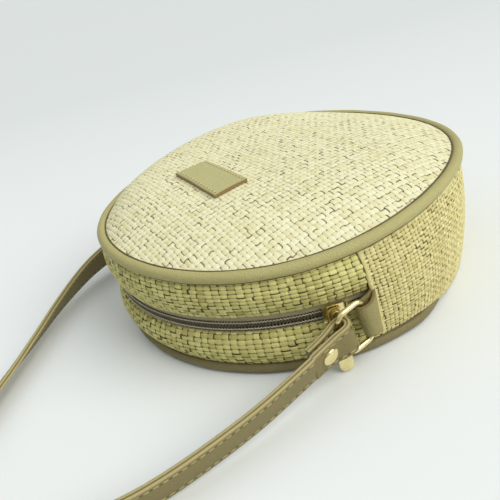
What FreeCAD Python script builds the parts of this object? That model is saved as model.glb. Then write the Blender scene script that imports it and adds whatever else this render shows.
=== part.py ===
import FreeCAD, Part
import math
import os

os.makedirs("parts", exist_ok=True)

V = FreeCAD.Vector

# Round body: the two rims, the pipings on them and the wall between (mm, degrees).
rim_radius = 90.0
back_rim_height = 2.5
rim_spacing = 48.8
piping_radius = 2.5
piping_core_radius = 1.5
piping_end_gap = 0.4
seam_gap = 0.05
layer_gap = 0.1
straw_thickness = 1.4
lining_thickness = 0.5
stiffener_thickness = 0.8
stiffener_inset = 3.4
panel_edge_gap = 0.15
front_crown = 11.1
base_bulge = 3.6
wall_outset = 0.4
front_edge_rise = 1.6
back_edge_tuck = 0.3
front_lining_inset = 1.0
strip_bulge = 2.6

# The zip, set into the wall.
zip_height = 24.5
zip_half_arc = 80.0
zip_opening_half = 4.2
zip_edge_outset = 0.6
tape_width = 7.8
tape_thickness = 0.6
tape_inset = 1.0
coil_width = 1.7
coil_half_gap = 0.5
coil_inset = 2.0
coil_depth = 2.1
stop_arc = 1.5
stop_gap = 0.5
stop_margin = 0.2
slider_arc = 6.0
slider_right_margin = 11.5
slider_left_margin = 42.5
slider_half_width = 3.8
slider_plate_thickness = 1.05
slider_clearance = 0.35
slider_post_thickness = 0.5
slider_joint_overlap = 0.2
zip_lining_clearance = 0.8
puller_width = 6.0
puller_length = 23.0
puller_top = 3.0
puller_thickness = 1.2
puller_tilt = 8.0
puller_standoff = 1.3
puller_post_radius = 0.9
puller_eye_clearance = 0.3
puller_end_play = 0.4
puller_head_radius = 2.1
puller_head_thickness = 0.8
puller_corner_radius = 2.0
puller_post_foot = 0.7
puller_head_lap = 0.2

# The mouth: the front's part that folds back along a straight chord, from a little inside the zip's ends.
fold_inset_angle = 19.27
fold_gap = 0.5

# Leather tabs, rings and riveted strap ends.
tab_angle = 4.75
tab_width = 15.0
tab_root_width = 22.0
tab_root_drop = 3.8
tab_thickness = 1.6
tab_clearance = 0.6
ring_outset = 7.6
tab_reach = 8.0
tab_leg_drop = 3.0
tab_leg_top = 1.0
ring_height = 21.8
ring_pitch = 10.0
ring_wire_radius = 1.2
ring_inside = 17.0
ring_length = 12.6
ring_corner = 3.6
right_swing = 14.75
left_swing = -2.0
strap_width = 14.5
strap_ply = 1.25
strap_ply_gap = 0.1
loop_clearance = 0.6
loop_taper = 5.4
loop_tail = 18.0
rivet_distance = 9.6
rivet_cap_radius = 4.0
rivet_cap_height = 1.4
rivet_back_radius = 3.4
rivet_back_height = 0.9
rivet_shank_radius = 1.2
rivet_shank_reach = 0.4
rivet_cap_rim = 0.4
rivet_cap_flat = 0.8
rivet_gap = 0.1

# The free strap: its way to the table and the wound middle of it.
strap_table_gap = 0.4
strap_split = 0.3
coil_spacing = 7.5
coil_turn_radius = 7.25
corner_share = 0.45
least_turn = 0.01
right_lead = 8.0
right_bow_out = 2.9
right_bow_length = 25.0
right_bow_height = 12.0
right_drop_out = 1.4
right_drop_length = 67.0
right_turn = 20.0
left_lead = 10.0
left_bend_out = 7.6
left_bend_length = 59.3
left_bend_height = 10.4
left_leave_angle = 29.0
left_slope_length = 30.0

# The bare leather patch on the front.
label_length = 41.0
label_height = 17.8
label_thickness = 1.8
label_distance = 34.0

# Sizes that follow from the ones above.
front_rim_height = back_rim_height + rim_spacing
strap_thickness = 2.0 * strap_ply + strap_ply_gap
zip_middle = -90.0
zip_right = zip_middle + zip_half_arc
zip_left = zip_middle - zip_half_arc
slider_rest_angle = zip_right - slider_right_margin
slider_travel = 2.0 * zip_half_arc - slider_right_margin - slider_left_margin
fold_chord = rim_radius * math.sin(math.radians(zip_right - fold_inset_angle))
ring_bar_radius = rim_radius + ring_outset
wall_low = back_rim_height + piping_radius + seam_gap
wall_high = front_rim_height - piping_radius - seam_gap
wall_rim = rim_radius + wall_outset
panel_radius = rim_radius - piping_radius - panel_edge_gap
front_edge_height = front_rim_height + front_edge_rise
front_top = front_edge_height + front_crown
dome_radius = (panel_radius ** 2 + front_crown ** 2) / (2.0 * front_crown)
dome_centre = front_top - dome_radius
zip_edge_radius = rim_radius + zip_edge_outset
tape_outer = rim_radius - tape_inset
tape_inner = tape_outer - tape_thickness
coil_inner = rim_radius - coil_inset
coil_outer = coil_inner + coil_depth
coil_reach = coil_half_gap + coil_width


def polar(radius, degrees, height=0.0):
    angle = math.radians(degrees)
    return V(radius * math.cos(angle), radius * math.sin(angle), height)


def turned(face, start, end):
    """A face in the XZ half plane, turned about the bag's axis from one angle to another."""
    placed = face.copy()
    placed.rotate(V(0, 0, 0), V(0, 0, 1), start)
    return placed.revolve(V(0, 0, 0), V(0, 0, 1), end - start)


def polygon(points):
    corners = [V(r, 0, z) for r, z in points]
    return Part.Face(Part.makePolygon(corners + [corners[0]]))


def block(r0, r1, z0, z1):
    return polygon([(r0, z0), (r1, z0), (r1, z1), (r0, z1)])


def circle_through(a, b, c):
    """Centre and radius of the circle through three (r, z) points."""
    d = 2.0 * (a[0] * (b[1] - c[1]) + b[0] * (c[1] - a[1]) + c[0] * (a[1] - b[1]))
    sa, sb, sc = (p[0] ** 2 + p[1] ** 2 for p in (a, b, c))
    x = (sa * (b[1] - c[1]) + sb * (c[1] - a[1]) + sc * (a[1] - b[1])) / d
    y = (sa * (c[0] - b[0]) + sb * (a[0] - c[0]) + sc * (b[0] - a[0])) / d
    return (x, y), math.hypot(a[0] - x, a[1] - y)


def inward(point, centre, radius, depth):
    k = (radius - depth) / radius
    return (centre[0] + (point[0] - centre[0]) * k, centre[1] + (point[1] - centre[1]) * k)


def bowed_wall(low, middle, high, depth0, depth1):
    """Cross-section of a bowed wall between two depths inside its outer arc."""
    centre, radius = circle_through(low, middle, high)
    outer = [inward(p, centre, radius, depth0) for p in (low, middle, high)]
    inner = [inward(p, centre, radius, depth1) for p in (low, middle, high)]
    o = [V(r, 0, z) for r, z in outer]
    i = [V(r, 0, z) for r, z in inner]
    edges = [Part.Arc(o[0], o[1], o[2]).toShape(), Part.makeLine(o[2], i[2]),
             Part.Arc(i[2], i[1], i[0]).toShape(), Part.makeLine(i[0], o[0])]
    return Part.Face(Part.Wire(edges))


def dome_face(depth0, depth1, edge):
    """Cross-section of the crowned front panel between two depths, out to an edge radius."""
    def at(r, depth):
        return V(r, 0, dome_centre + math.sqrt((dome_radius - depth) ** 2 - r * r))
    edges = [Part.Arc(at(0, depth0), at(edge / 2.0, depth0), at(edge, depth0)).toShape(),
             Part.makeLine(at(edge, depth0), at(edge, depth1)),
             Part.Arc(at(edge, depth1), at(edge / 2.0, depth1), at(0, depth1)).toShape(),
             Part.makeLine(at(0, depth1), at(0, depth0))]
    return Part.Face(Part.Wire(edges))


def ring_face(height, outer, inner):
    """Cross-section of a round tube on the rim circle."""
    middle = V(rim_radius, 0, height)
    outside = Part.Wire(Part.Circle(middle, V(0, 1, 0), outer).toShape())
    if inner <= 0.0:
        return Part.Face(outside)
    inside = Part.Wire(Part.Circle(middle, V(0, 1, 0), inner).toShape())
    return Part.Face(outside).cut(Part.Face(inside)).Faces[0]


far = 400.0
behind_fold = Part.makeBox(2 * far, far, far, V(-far, fold_chord + fold_gap / 2.0, -far / 2.0))
beyond_fold = Part.makeBox(2 * far, far, far, V(-far, fold_chord - fold_gap / 2.0 - far, -far / 2.0))


def fixed_side(shape):
    return shape.common(behind_fold)


def folding_side(shape):
    return shape.common(beyond_fold)


nodes = {}

# Back: straw disc, board and lining, one on the other.
nodes["back_panel"] = Part.makeCylinder(panel_radius + back_edge_tuck, straw_thickness)
board_low = straw_thickness + layer_gap
board_radius = panel_radius - stiffener_inset
nodes["back_stiffener"] = Part.makeCylinder(board_radius, stiffener_thickness, V(0, 0, board_low))
lining_low = board_low + stiffener_thickness + layer_gap
nodes["back_lining"] = Part.makeCylinder(board_radius, lining_thickness, V(0, 0, lining_low))

# Pipings: a leather tube round a cord; the back one's ends butt at the middle of the base.
end_turn = math.degrees(piping_end_gap / rim_radius)
piping_start = 90.0 + end_turn / 2.0
piping_end = 450.0 - end_turn / 2.0
core_radius = piping_core_radius - seam_gap
back_tube = ring_face(back_rim_height, piping_radius, piping_core_radius)
back_core = ring_face(back_rim_height, core_radius, 0.0)
front_tube = ring_face(front_rim_height, piping_radius, piping_core_radius)
front_core = ring_face(front_rim_height, core_radius, 0.0)
fixed_from = zip_middle + 30.0
fixed_to = zip_middle + 330.0
flap_from = zip_middle - 85.0
flap_to = zip_middle + 85.0
nodes["back_piping"] = turned(back_tube, piping_start, piping_end)
nodes["back_piping_cord"] = turned(back_core, piping_start, piping_end)
nodes["front_piping"] = fixed_side(turned(front_tube, fixed_from, fixed_to))
nodes["front_piping_cord"] = fixed_side(turned(front_core, fixed_from, fixed_to))
nodes["flap_piping"] = folding_side(turned(front_tube, flap_from, flap_to))
nodes["flap_piping_cord"] = folding_side(turned(front_core, flap_from, flap_to))

# Front: a crowned straw panel and its lining, each parted at the fold.
front_straw = turned(dome_face(0.0, straw_thickness, panel_radius), 0.0, 360.0)
front_inner = turned(dome_face(straw_thickness + layer_gap, straw_thickness + layer_gap + lining_thickness,
                               panel_radius - front_lining_inset), 0.0, 360.0)
nodes["front_panel"] = fixed_side(front_straw)
nodes["flap_panel"] = folding_side(front_straw)
nodes["front_lining"] = fixed_side(front_inner)
nodes["flap_lining"] = folding_side(front_inner)

# Base gusset: the wall from one zip end round the bottom to the other.
wall_middle = (wall_low + wall_high) / 2.0
base_low = (wall_rim, wall_low)
base_mid = (wall_rim + base_bulge, wall_middle)
base_high = (wall_rim, wall_high)
seam_turn = math.degrees(seam_gap / rim_radius)
base_from = zip_right + seam_turn
base_to = zip_left + 360.0 - seam_turn
base_face = bowed_wall(base_low, base_mid, base_high, 0.0, straw_thickness)
nodes["base_gusset"] = turned(base_face, base_from, base_to)
lining_in = straw_thickness + layer_gap
lining_face = bowed_wall(base_low, base_mid, base_high, lining_in, lining_in + lining_thickness)
nodes["base_lining"] = turned(lining_face, base_from, base_to)

# Zip gusset: one straw strip each side of the zip, with the zip in the valley between.
zip_from = zip_left + seam_turn
zip_to = zip_right - seam_turn
back_edge = zip_height - zip_opening_half
front_edge = zip_height + zip_opening_half
strip_mid = wall_rim + strip_bulge
back_middle = (wall_low + back_edge) / 2.0
front_middle = (front_edge + wall_high) / 2.0
back_strip_points = [(wall_rim, wall_low), (strip_mid, back_middle), (zip_edge_radius, back_edge)]
front_strip_points = [(zip_edge_radius, front_edge), (strip_mid, front_middle), (wall_rim, wall_high)]
back_strip = turned(bowed_wall(*back_strip_points, 0.0, straw_thickness), zip_from, zip_to)
front_strip = turned(bowed_wall(*front_strip_points, 0.0, straw_thickness), zip_from, zip_to)
zip_lining_outer = tape_inner - 2.0 * layer_gap
zip_lining_inner = zip_lining_outer - lining_thickness
back_lining_top = back_edge - zip_lining_clearance
front_lining_low = front_edge + zip_lining_clearance
back_lining_face = block(zip_lining_inner, zip_lining_outer, wall_low, back_lining_top)
front_lining_face = block(zip_lining_inner, zip_lining_outer, front_lining_low, wall_high)
back_zip_lining = turned(back_lining_face, zip_from, zip_to)
front_zip_lining = turned(front_lining_face, zip_from, zip_to)
nodes["zip_gusset_back"] = back_strip
nodes["zip_lining_back"] = back_zip_lining
nodes["flap_gusset"] = folding_side(front_strip)
nodes["flap_zip_lining"] = folding_side(front_zip_lining)


def end_of(shape, side):
    """The short fixed end of a front zip piece, right (1) or left (-1) of the fold."""
    half = Part.makeBox(far, 2 * far, 2 * far, V(0.0 if side > 0 else -far, -far, -far))
    return fixed_side(shape).common(half)


nodes["zip_gusset_right_end"] = end_of(front_strip, 1)
nodes["zip_gusset_left_end"] = end_of(front_strip, -1)

# Zip tapes and coils. The halves stand apart by the slot that the slider's wedge runs in.
stop_right = slider_rest_angle + slider_arc / 2.0 + stop_gap
stop_left = slider_rest_angle - slider_travel - slider_arc / 2.0 - stop_gap
coil_low = zip_height - coil_half_gap
coil_high = zip_height + coil_half_gap
tape_low = zip_height - coil_reach - seam_gap
tape_high = zip_height + coil_reach + seam_gap
back_tape = turned(block(tape_inner, tape_outer, tape_low - tape_width, tape_low), zip_from, zip_to)
front_tape = turned(block(tape_inner, tape_outer, tape_high, tape_high + tape_width), zip_from, zip_to)
coil_from = stop_left + seam_turn
coil_to = stop_right - seam_turn
back_coil = turned(block(coil_inner, coil_outer, zip_height - coil_reach, coil_low), coil_from, coil_to)
front_coil = turned(block(coil_inner, coil_outer, coil_high, zip_height + coil_reach), coil_from, coil_to)
nodes["back_zip_tape"] = back_tape
nodes["back_zip_coil"] = back_coil
nodes["flap_zip_tape"] = folding_side(front_tape)
nodes["flap_zip_coil"] = folding_side(front_coil)
nodes["front_zip_tape_right"] = end_of(front_tape, 1)
nodes["front_zip_tape_left"] = end_of(front_tape, -1)
nodes["front_zip_coil_right"] = end_of(front_coil, 1)
stop_inner = coil_inner - stop_margin
stop_outer = coil_outer + stop_margin
top_back = block(stop_inner, stop_outer, zip_height - coil_reach, coil_low)
top_front = block(stop_inner, stop_outer, coil_high, zip_height + coil_reach)
nodes["zip_top_stop_back"] = turned(top_back, stop_right, stop_right + stop_arc)
nodes["zip_top_stop_front"] = turned(top_front, stop_right, stop_right + stop_arc)
bottom = block(stop_inner, stop_outer, zip_height - coil_reach, coil_low)
bottom_end = turned(bottom, stop_left - stop_arc, stop_left)
nodes["zip_bottom_stop"] = bottom_end

# Slider: two plates joined by a wedge, with a post on which the puller turns.
slide_from = slider_rest_angle - slider_arc / 2.0
slide_to = slider_rest_angle + slider_arc / 2.0
plate_out = coil_outer + slider_clearance
plate_in = coil_inner - slider_clearance
plate_low = zip_height - slider_half_width
plate_high = zip_height + slider_half_width
plate_face = plate_out + slider_plate_thickness
plate_back = plate_in - slider_plate_thickness
outer_plate = turned(block(plate_out, plate_face, plate_low, plate_high), slide_from, slide_to)
inner_plate = turned(block(plate_back, plate_in, plate_low, plate_high), slide_from, slide_to)
half_post = slider_post_thickness / 2.0
wedge_face = block(plate_in - slider_joint_overlap, plate_out + slider_joint_overlap,
                   zip_height - half_post, zip_height + half_post)
wedge = turned(wedge_face, slide_to - slider_arc / 4.0, slide_to)
radial = polar(1.0, slider_rest_angle)
upward = V(0, 0, 1)
tilt = math.radians(puller_tilt)
puller_axis = radial * math.cos(tilt) + upward * math.sin(tilt)
puller_down = radial * math.sin(tilt) - upward * math.cos(tilt)
puller_side = puller_axis.cross(puller_down)
pivot = polar(plate_face, slider_rest_angle, zip_height)
post_length = puller_standoff + puller_thickness + puller_end_play
post_full = puller_post_foot + post_length + puller_head_lap
post = Part.makeCylinder(puller_post_radius, post_full, pivot - puller_axis * puller_post_foot, puller_axis)
head_place = pivot + puller_axis * post_length
head = Part.makeCylinder(puller_head_radius, puller_head_thickness, head_place, puller_axis)
nodes["zip_slider"] = outer_plate.multiFuse([inner_plate, wedge, post, head]).removeSplitter()


def rounded_plate(corner, along, across, length, width, radius, normal, thickness):
    """A plate with rounded corners, from the middle of its near edge."""
    def at(u, w):
        return corner + along * u + across * w
    h = width / 2.0
    k = radius * (1.0 - math.sqrt(0.5))
    edges = [Part.makeLine(at(radius, -h), at(length - radius, -h)),
             Part.Arc(at(length - radius, -h), at(length - k, -h + k), at(length, -h + radius)).toShape(),
             Part.makeLine(at(length, -h + radius), at(length, h - radius)),
             Part.Arc(at(length, h - radius), at(length - k, h - k), at(length - radius, h)).toShape(),
             Part.makeLine(at(length - radius, h), at(radius, h)),
             Part.Arc(at(radius, h), at(k, h - k), at(0, h - radius)).toShape(),
             Part.makeLine(at(0, h - radius), at(0, -h + radius)),
             Part.Arc(at(0, -h + radius), at(k, -h + k), at(radius, -h)).toShape()]
    return Part.Face(Part.Wire(edges)).extrude(normal * thickness)


plate_start = pivot + puller_axis * puller_standoff - puller_down * puller_top
puller = rounded_plate(plate_start, puller_down, puller_side, puller_length + puller_top, puller_width,
                       puller_corner_radius, puller_axis, puller_thickness)
eye = Part.makeCylinder(puller_post_radius + puller_eye_clearance, 2.0 * post_length, pivot, puller_axis)
nodes["zip_puller"] = puller.cut(eye)

# Everything that the bag's wall fills, for seating the tabs against it.
inner_line = 2.0 * rim_radius / 3.0
wall_skin = 0.1


def wall_filled(points, start, end):
    """The room inside a bowed wall, out to a thin skin over it."""
    o = [V(r + wall_skin, 0, z) for r, z in points]
    high = V(inner_line, 0, o[2].z)
    low = V(inner_line, 0, o[0].z)
    edges = [Part.Arc(*o).toShape(), Part.makeLine(o[2], high),
             Part.makeLine(high, low), Part.makeLine(low, o[0])]
    return turned(Part.Face(Part.Wire(edges)), start, end)


base_fill = wall_filled([base_low, base_mid, base_high], base_from, base_to)
zip_fill = turned(block(inner_line, coil_outer + stop_margin + wall_skin, back_edge - wall_skin,
                        front_edge + wall_skin), zip_from, zip_to)
back_fill = wall_filled(back_strip_points, zip_from, zip_to)
front_fill = wall_filled(front_strip_points, zip_from, zip_to)
wall_fill = [base_fill, back_fill, front_fill, zip_fill]


class Side:
    """Directions at one ring: along the strap, outward from it, up its bars, and the two bars."""

    def __init__(self, sign, swing):
        self.sign = sign
        self.angle = zip_right - tab_angle if sign > 0 else zip_left + tab_angle
        self.radial = polar(1.0, self.angle)
        level = V(self.radial.y * sign, -self.radial.x * sign, 0)
        pitch = math.radians(ring_pitch)
        turn = math.radians(swing)
        self.up = upward * math.cos(pitch) + level * math.sin(pitch)
        self.wall = level * math.cos(pitch) - upward * math.sin(pitch)
        self.along = self.wall * math.cos(turn) + self.radial * math.sin(turn)
        self.out = self.radial * math.cos(turn) - self.wall * math.sin(turn)
        self.heading = V(self.along.x, self.along.y, 0).normalize()
        self.bar = polar(ring_bar_radius, self.angle, ring_height)
        self.strap_bar = self.bar + self.along * ring_length
        leg = (strap_thickness + strap_ply_gap) / 2.0
        self.end = self.strap_bar + self.along * loop_tail + self.out * leg


right = Side(1, right_swing)
left = Side(-1, left_swing)


def flat_loop(side, bar_clear, thickness, taper, tail, slit, width):
    """A strip folded round the strap's bar: its two legs close up over the taper and run on side by side."""
    def at(u, w):
        return side.strap_bar + side.along * u + side.out * w

    def outline(radius, half):
        lean = math.asin((radius - half) / taper)
        u, w = radius * math.sin(lean), radius * math.cos(lean)
        edges = [Part.Arc(at(u, w), at(-radius, 0), at(u, -w)).toShape(),
                 Part.makeLine(at(u, -w), at(taper, -half)),
                 Part.makeLine(at(taper, -half), at(tail, -half)),
                 Part.makeLine(at(tail, -half), at(tail, half)),
                 Part.makeLine(at(tail, half), at(taper, half)),
                 Part.makeLine(at(taper, half), at(u, w))]
        return Part.Face(Part.Wire(edges))

    inner = ring_wire_radius + bar_clear
    outside = outline(inner + thickness, thickness + slit / 2.0)
    inside = outline(inner, slit / 2.0)
    solid = outside.extrude(side.up * width).cut(inside.extrude(side.up * width))
    solid.translate(side.up * (-width / 2.0))
    return solid


def ring_wire(side):
    """A rounded oblong ring bent from round wire."""
    h = ring_inside / 2.0 + ring_wire_radius
    c = ring_corner
    k = c * (1.0 - math.sqrt(0.5))
    n = ring_length

    def at(u, z):
        return side.bar + side.along * u + side.up * z
    edges = [Part.makeLine(at(0, 0), at(0, h - c)),
             Part.Arc(at(0, h - c), at(k, h - k), at(c, h)).toShape(),
             Part.makeLine(at(c, h), at(n - c, h)),
             Part.Arc(at(n - c, h), at(n - k, h - k), at(n, h - c)).toShape(),
             Part.makeLine(at(n, h - c), at(n, c - h)),
             Part.Arc(at(n, c - h), at(n - k, k - h), at(n - c, -h)).toShape(),
             Part.makeLine(at(n - c, -h), at(c, -h)),
             Part.Arc(at(c, -h), at(k, k - h), at(0, c - h)).toShape(),
             Part.makeLine(at(0, c - h), at(0, 0))]
    path = Part.Wire(edges)
    section = Part.Wire(Part.Circle(at(0, 0), side.up, ring_wire_radius).toShape())
    return path.makePipeShell([section], True, False)


def ring_tab(side):
    """A leather strip folded round the ring's bar, wider at its ends, which are sewn down on the seam."""
    inner = ring_wire_radius + tab_clearance
    outer = inner + tab_thickness
    back = side.wall * -1.0
    low = -outer - tab_leg_drop
    high = -tab_leg_top

    def at(u, w):
        return side.bar + back * u + side.radial * w
    edges = [Part.Arc(at(0, outer), at(-outer, 0), at(0, -outer)).toShape(),
             Part.makeLine(at(0, -outer), at(tab_reach, low)),
             Part.makeLine(at(tab_reach, low), at(tab_reach, high)),
             Part.makeLine(at(tab_reach, high), at(0, outer))]
    reach = 2.0 * tab_root_width
    solid = Part.Face(Part.Wire(edges)).extrude(side.up * (2.0 * reach))
    solid.translate(side.up * -reach)

    def edge_at(u, z):
        return side.bar + back * u + side.up * z - side.radial * reach
    for edge in (-1.0, 1.0):
        fold_z = edge * tab_width / 2.0
        root_z = edge * tab_root_width / 2.0 - tab_root_drop
        corners = [edge_at(-2.0 * outer, fold_z), edge_at(0, fold_z), edge_at(tab_reach, root_z),
                   edge_at(2.0 * tab_reach, root_z), edge_at(2.0 * tab_reach, edge * 3.0 * reach),
                   edge_at(-2.0 * outer, edge * 3.0 * reach)]
        waste = Part.Face(Part.makePolygon(corners + [corners[0]])).extrude(side.radial * (2.0 * reach))
        solid = solid.cut(waste)
    bore = Part.makeCylinder(inner, 2.0 * reach, side.bar - side.up * reach, side.up)
    return solid.cut(bore).cut(wall_fill[0]).cut(wall_fill[1]).cut(wall_fill[2]).cut(wall_fill[3])


def rivet(side):
    """The cap with its shank, and the back it is closed into."""
    face = strap_thickness + strap_ply_gap / 2.0 + rivet_gap
    middle = side.strap_bar + side.along * rivet_distance
    tip = face + rivet_shank_reach

    def at(u, w):
        return middle + side.along * u + side.out * w
    low = face + rivet_cap_rim
    top = face + rivet_cap_height
    flat = rivet_cap_flat
    waist = (flat + rivet_cap_radius) / 2.0
    swell = low + (top - low) * 0.75
    edges = [Part.makeLine(at(0, -tip), at(rivet_shank_radius, -tip)),
             Part.makeLine(at(rivet_shank_radius, -tip), at(rivet_shank_radius, face)),
             Part.makeLine(at(rivet_shank_radius, face), at(rivet_cap_radius, face)),
             Part.makeLine(at(rivet_cap_radius, face), at(rivet_cap_radius, low)),
             Part.Arc(at(rivet_cap_radius, low), at(waist, swell), at(flat, top)).toShape(),
             Part.makeLine(at(flat, top), at(0, top)),
             Part.makeLine(at(0, top), at(0, -tip))]
    cap = Part.Face(Part.Wire(edges)).revolve(middle, side.out, 360.0)
    back = Part.makeCylinder(rivet_back_radius, rivet_back_height, middle - side.out * face, side.out * -1.0)
    socket = rivet_shank_reach + rivet_gap
    bore = rivet_shank_radius + rivet_gap
    hole = Part.makeCylinder(bore, socket, middle - side.out * face, side.out * -1.0)
    through = Part.makeCylinder(bore, 4.0 * face, middle - side.out * 2.0 * face, side.out)
    return cap, back.cut(hole), through


for name, side in (("right", right), ("left", left)):
    nodes[name + "_ring_tab"] = ring_tab(side)
    nodes[name + "_ring"] = ring_wire(side)
    loop = flat_loop(side, loop_clearance, strap_thickness, loop_taper, loop_tail + strap_width,
                     strap_ply_gap, strap_width)
    beyond = Part.makeCylinder(2.0 * strap_width, 3.0 * strap_width, side.end, side.heading)
    cap, back, hole = rivet(side)
    nodes[name + "_strap_end"] = loop.cut(beyond).cut(hole)
    nodes[name + "_rivet_cap"] = cap
    nodes[name + "_rivet_back"] = back

# Free strap: from the right ring down to the table, wound up in two arms, and back to the left ring.
table_height = strap_table_gap + strap_width / 2.0
wound_r = [2.0 * coil_turn_radius + coil_spacing * (k + 0.5) for k in range(4)]
outer_reach = 2.0 * coil_turn_radius + 4.0 * coil_spacing


class Route:
    """Straight runs and tangent arcs, each kept with its shape in plan and its height."""

    def __init__(self, start, way):
        self.point = start
        self.way = way.normalize()
        self.pieces = []

    def run(self, length, drop=0.0):
        step = self.way * length + V(0, 0, -drop)
        self.pieces.append(("run", self.point, step, self.way))
        self.point = self.point + step

    def bend(self, radius, turn):
        """A level arc; a positive turn is to the left."""
        side = V(-self.way.y, self.way.x, 0)
        middle = self.point + side * (radius if turn > 0 else -radius)
        self.pieces.append(("arc", self.point, middle, turn, self.way))
        spin = FreeCAD.Rotation(V(0, 0, 1), turn)
        self.point = middle + spin.multVec(self.point - middle)
        self.way = spin.multVec(self.way)

    def points(self, step):
        out = []
        for piece in self.pieces:
            if piece[0] == "run":
                n = max(2, int(piece[2].Length / step))
                out += [piece[1] + piece[2] * (k / n) for k in range(n)]
            else:
                arm = piece[1] - piece[2]
                n = max(2, int(abs(math.radians(piece[3])) * arm.Length / step))
                for k in range(n):
                    out.append(piece[2] + FreeCAD.Rotation(V(0, 0, 1), piece[3] * k / n).multVec(arm))
        return out + [self.point]

    def length(self):
        total = 0.0
        for piece in self.pieces:
            if piece[0] == "run":
                total += piece[2].Length
            else:
                total += abs(math.radians(piece[3])) * (piece[1] - piece[2]).Length
        return total

    def band(self, offset, thickness, width):
        """The upright band along the route, at a sideways offset from it."""
        solids = []
        for piece in self.pieces:
            start, way = piece[1], piece[-1]
            side = V(-way.y, way.x, 0)
            a = start + side * (offset - thickness / 2.0) - V(0, 0, width / 2.0)
            b = start + side * (offset + thickness / 2.0) - V(0, 0, width / 2.0)
            rise = V(0, 0, width)
            face = Part.Face(Part.makePolygon([a, b, b + rise, a + rise, a]))
            if piece[0] == "run":
                solids.append(face.extrude(piece[2]))
            else:
                solids.append(face.revolve(piece[2], V(0, 0, 1), piece[3]))
        return solids[0].multiFuse(solids[1:]).removeSplitter()


def turn_between(a, b):
    """The signed turn in degrees from one level direction to another, left positive."""
    return math.degrees(math.atan2(a.x * b.y - a.y * b.x, a.x * b.x + a.y * b.y))


def follow(route, corners):
    """Straight runs from corner to corner, each corner rounded as far as its shorter run allows."""
    level = [V(c.x, c.y, 0) for c in corners]
    ways = [(b - a).normalize() for a, b in zip(level, level[1:])]
    runs = [(b - a).Length for a, b in zip(level, level[1:])]
    cut_before = 0.0
    for k, length in enumerate(runs):
        turn = turn_between(ways[k], ways[k + 1]) if k + 1 < len(ways) else 0.0
        turns = abs(turn) > least_turn
        cut = corner_share * min(length, runs[k + 1]) if turns else 0.0
        route.run(length - cut_before - cut, corners[k].z - corners[k + 1].z)
        if turns:
            route.bend(cut / math.tan(math.radians(abs(turn)) / 2.0), turn)
        cut_before = cut


# The right stretch: straight on from the ring, bowing out and down to the table, then to the wound middle.
start = right.end + right.heading * strap_split
lead_point = start + right.heading * right_lead
across = V(-right.heading.y, right.heading.x, 0)
bow_point = lead_point + right.heading * right_bow_length + across * right_bow_out
bow_point.z = right_bow_height
drop_point = start + right.heading * right_drop_length + across * right_drop_out
drop_point.z = table_height
last_way = FreeCAD.Rotation(upward, -right_turn).multVec(right.heading)
last_side = V(last_way.y, -last_way.x, 0)

# The left stretch, from the ring: straight on, past the wall to a bend, then a long line over the table.
left_start = left.end + left.heading * strap_split
left_lead_point = left_start + left.heading * left_lead
left_across = V(-left.heading.y, left.heading.x, 0)
bend_point = left_start + left.heading * left_bend_length + left_across * left_bend_out
bend_point.z = left_bend_height
left_way = FreeCAD.Rotation(upward, left_leave_angle).multVec(left.heading)
left_normal = V(-left_way.y, left_way.x, 0)
slope_point = bend_point + left_way * left_slope_length
slope_point.z = table_height

# The last run on the right is as long as it takes for the wound middle to meet the left line.
arm_start = drop_point + last_side * (outer_reach + coil_spacing / 2.0)
last_run = (bend_point - arm_start).dot(left_normal) - wound_r[3]
last_run = last_run / last_way.dot(left_normal)
wound_start = drop_point + last_way * last_run
wound = wound_start + last_side * outer_reach

route = Route(start, right.heading)
follow(route, [start, lead_point, bow_point, drop_point, wound_start])

# The wound middle: the right arm goes in, turns over itself, and the left arm comes out.
for k in (3, 2, 1, 0):
    route.bend(wound_r[k], -180.0)
route.bend(coil_turn_radius, -180.0)
half_length = route.length()
route.bend(coil_turn_radius, 180.0)
for k in (0, 1, 2):
    route.bend(wound_r[k], 180.0)
route.bend(wound_r[3], turn_between(route.way, left_way * -1.0))
follow(route, [V(route.point), slope_point, bend_point, left_lead_point, left_start])
print("strap reaches the left end within", round((route.point - left_start).Length, 3))
print("free strap length", round(route.length(), 1), "right half", round(half_length, 1))
print("wound middle", round(wound.x, 2), round(wound.y, 2), "last run", round(last_run, 1))
for corner in (start, lead_point, bow_point, drop_point, wound_start, slope_point, bend_point,
               left_lead_point, left_start):
    print("corner", round(corner.x, 2), round(corner.y, 2), round(corner.z, 2))

step = 2.0
points = route.points(step)
apart = int(4.0 * coil_spacing / step)
least = min((points[i] - points[j]).Length for i in range(len(points)) for j in range(i + apart, len(points)))
print("least gap of the wound strap to itself", round(least - strap_thickness, 2))

ply_offset = (strap_ply + strap_ply_gap) / 2.0
nodes["strap_face"] = route.band(ply_offset, strap_ply, strap_width)
nodes["strap_backing"] = route.band(-ply_offset, strap_ply, strap_width)

# Label: a bare leather patch that follows the crown.
sphere_low = Part.makeSphere(dome_radius + seam_gap, V(0, 0, dome_centre))
sphere_high = Part.makeSphere(dome_radius + seam_gap + label_thickness, V(0, 0, dome_centre))
patch = Part.makeBox(label_length, label_height, 2.0 * front_top,
                     V(-label_length / 2.0, -label_distance - label_height / 2.0, 0))
nodes["label_patch"] = patch.common(sphere_high).cut(sphere_low)

for name, shape in nodes.items():
    solids = shape.Solids
    if len(solids) != 1 or not shape.isValid():
        print("check", name, len(solids), shape.isValid())
    solids[0].exportStep("parts/" + name + ".step")
print("nodes", len(nodes))
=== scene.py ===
import bpy
import math
import numpy as np
from mathutils import Matrix, Vector


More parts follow.
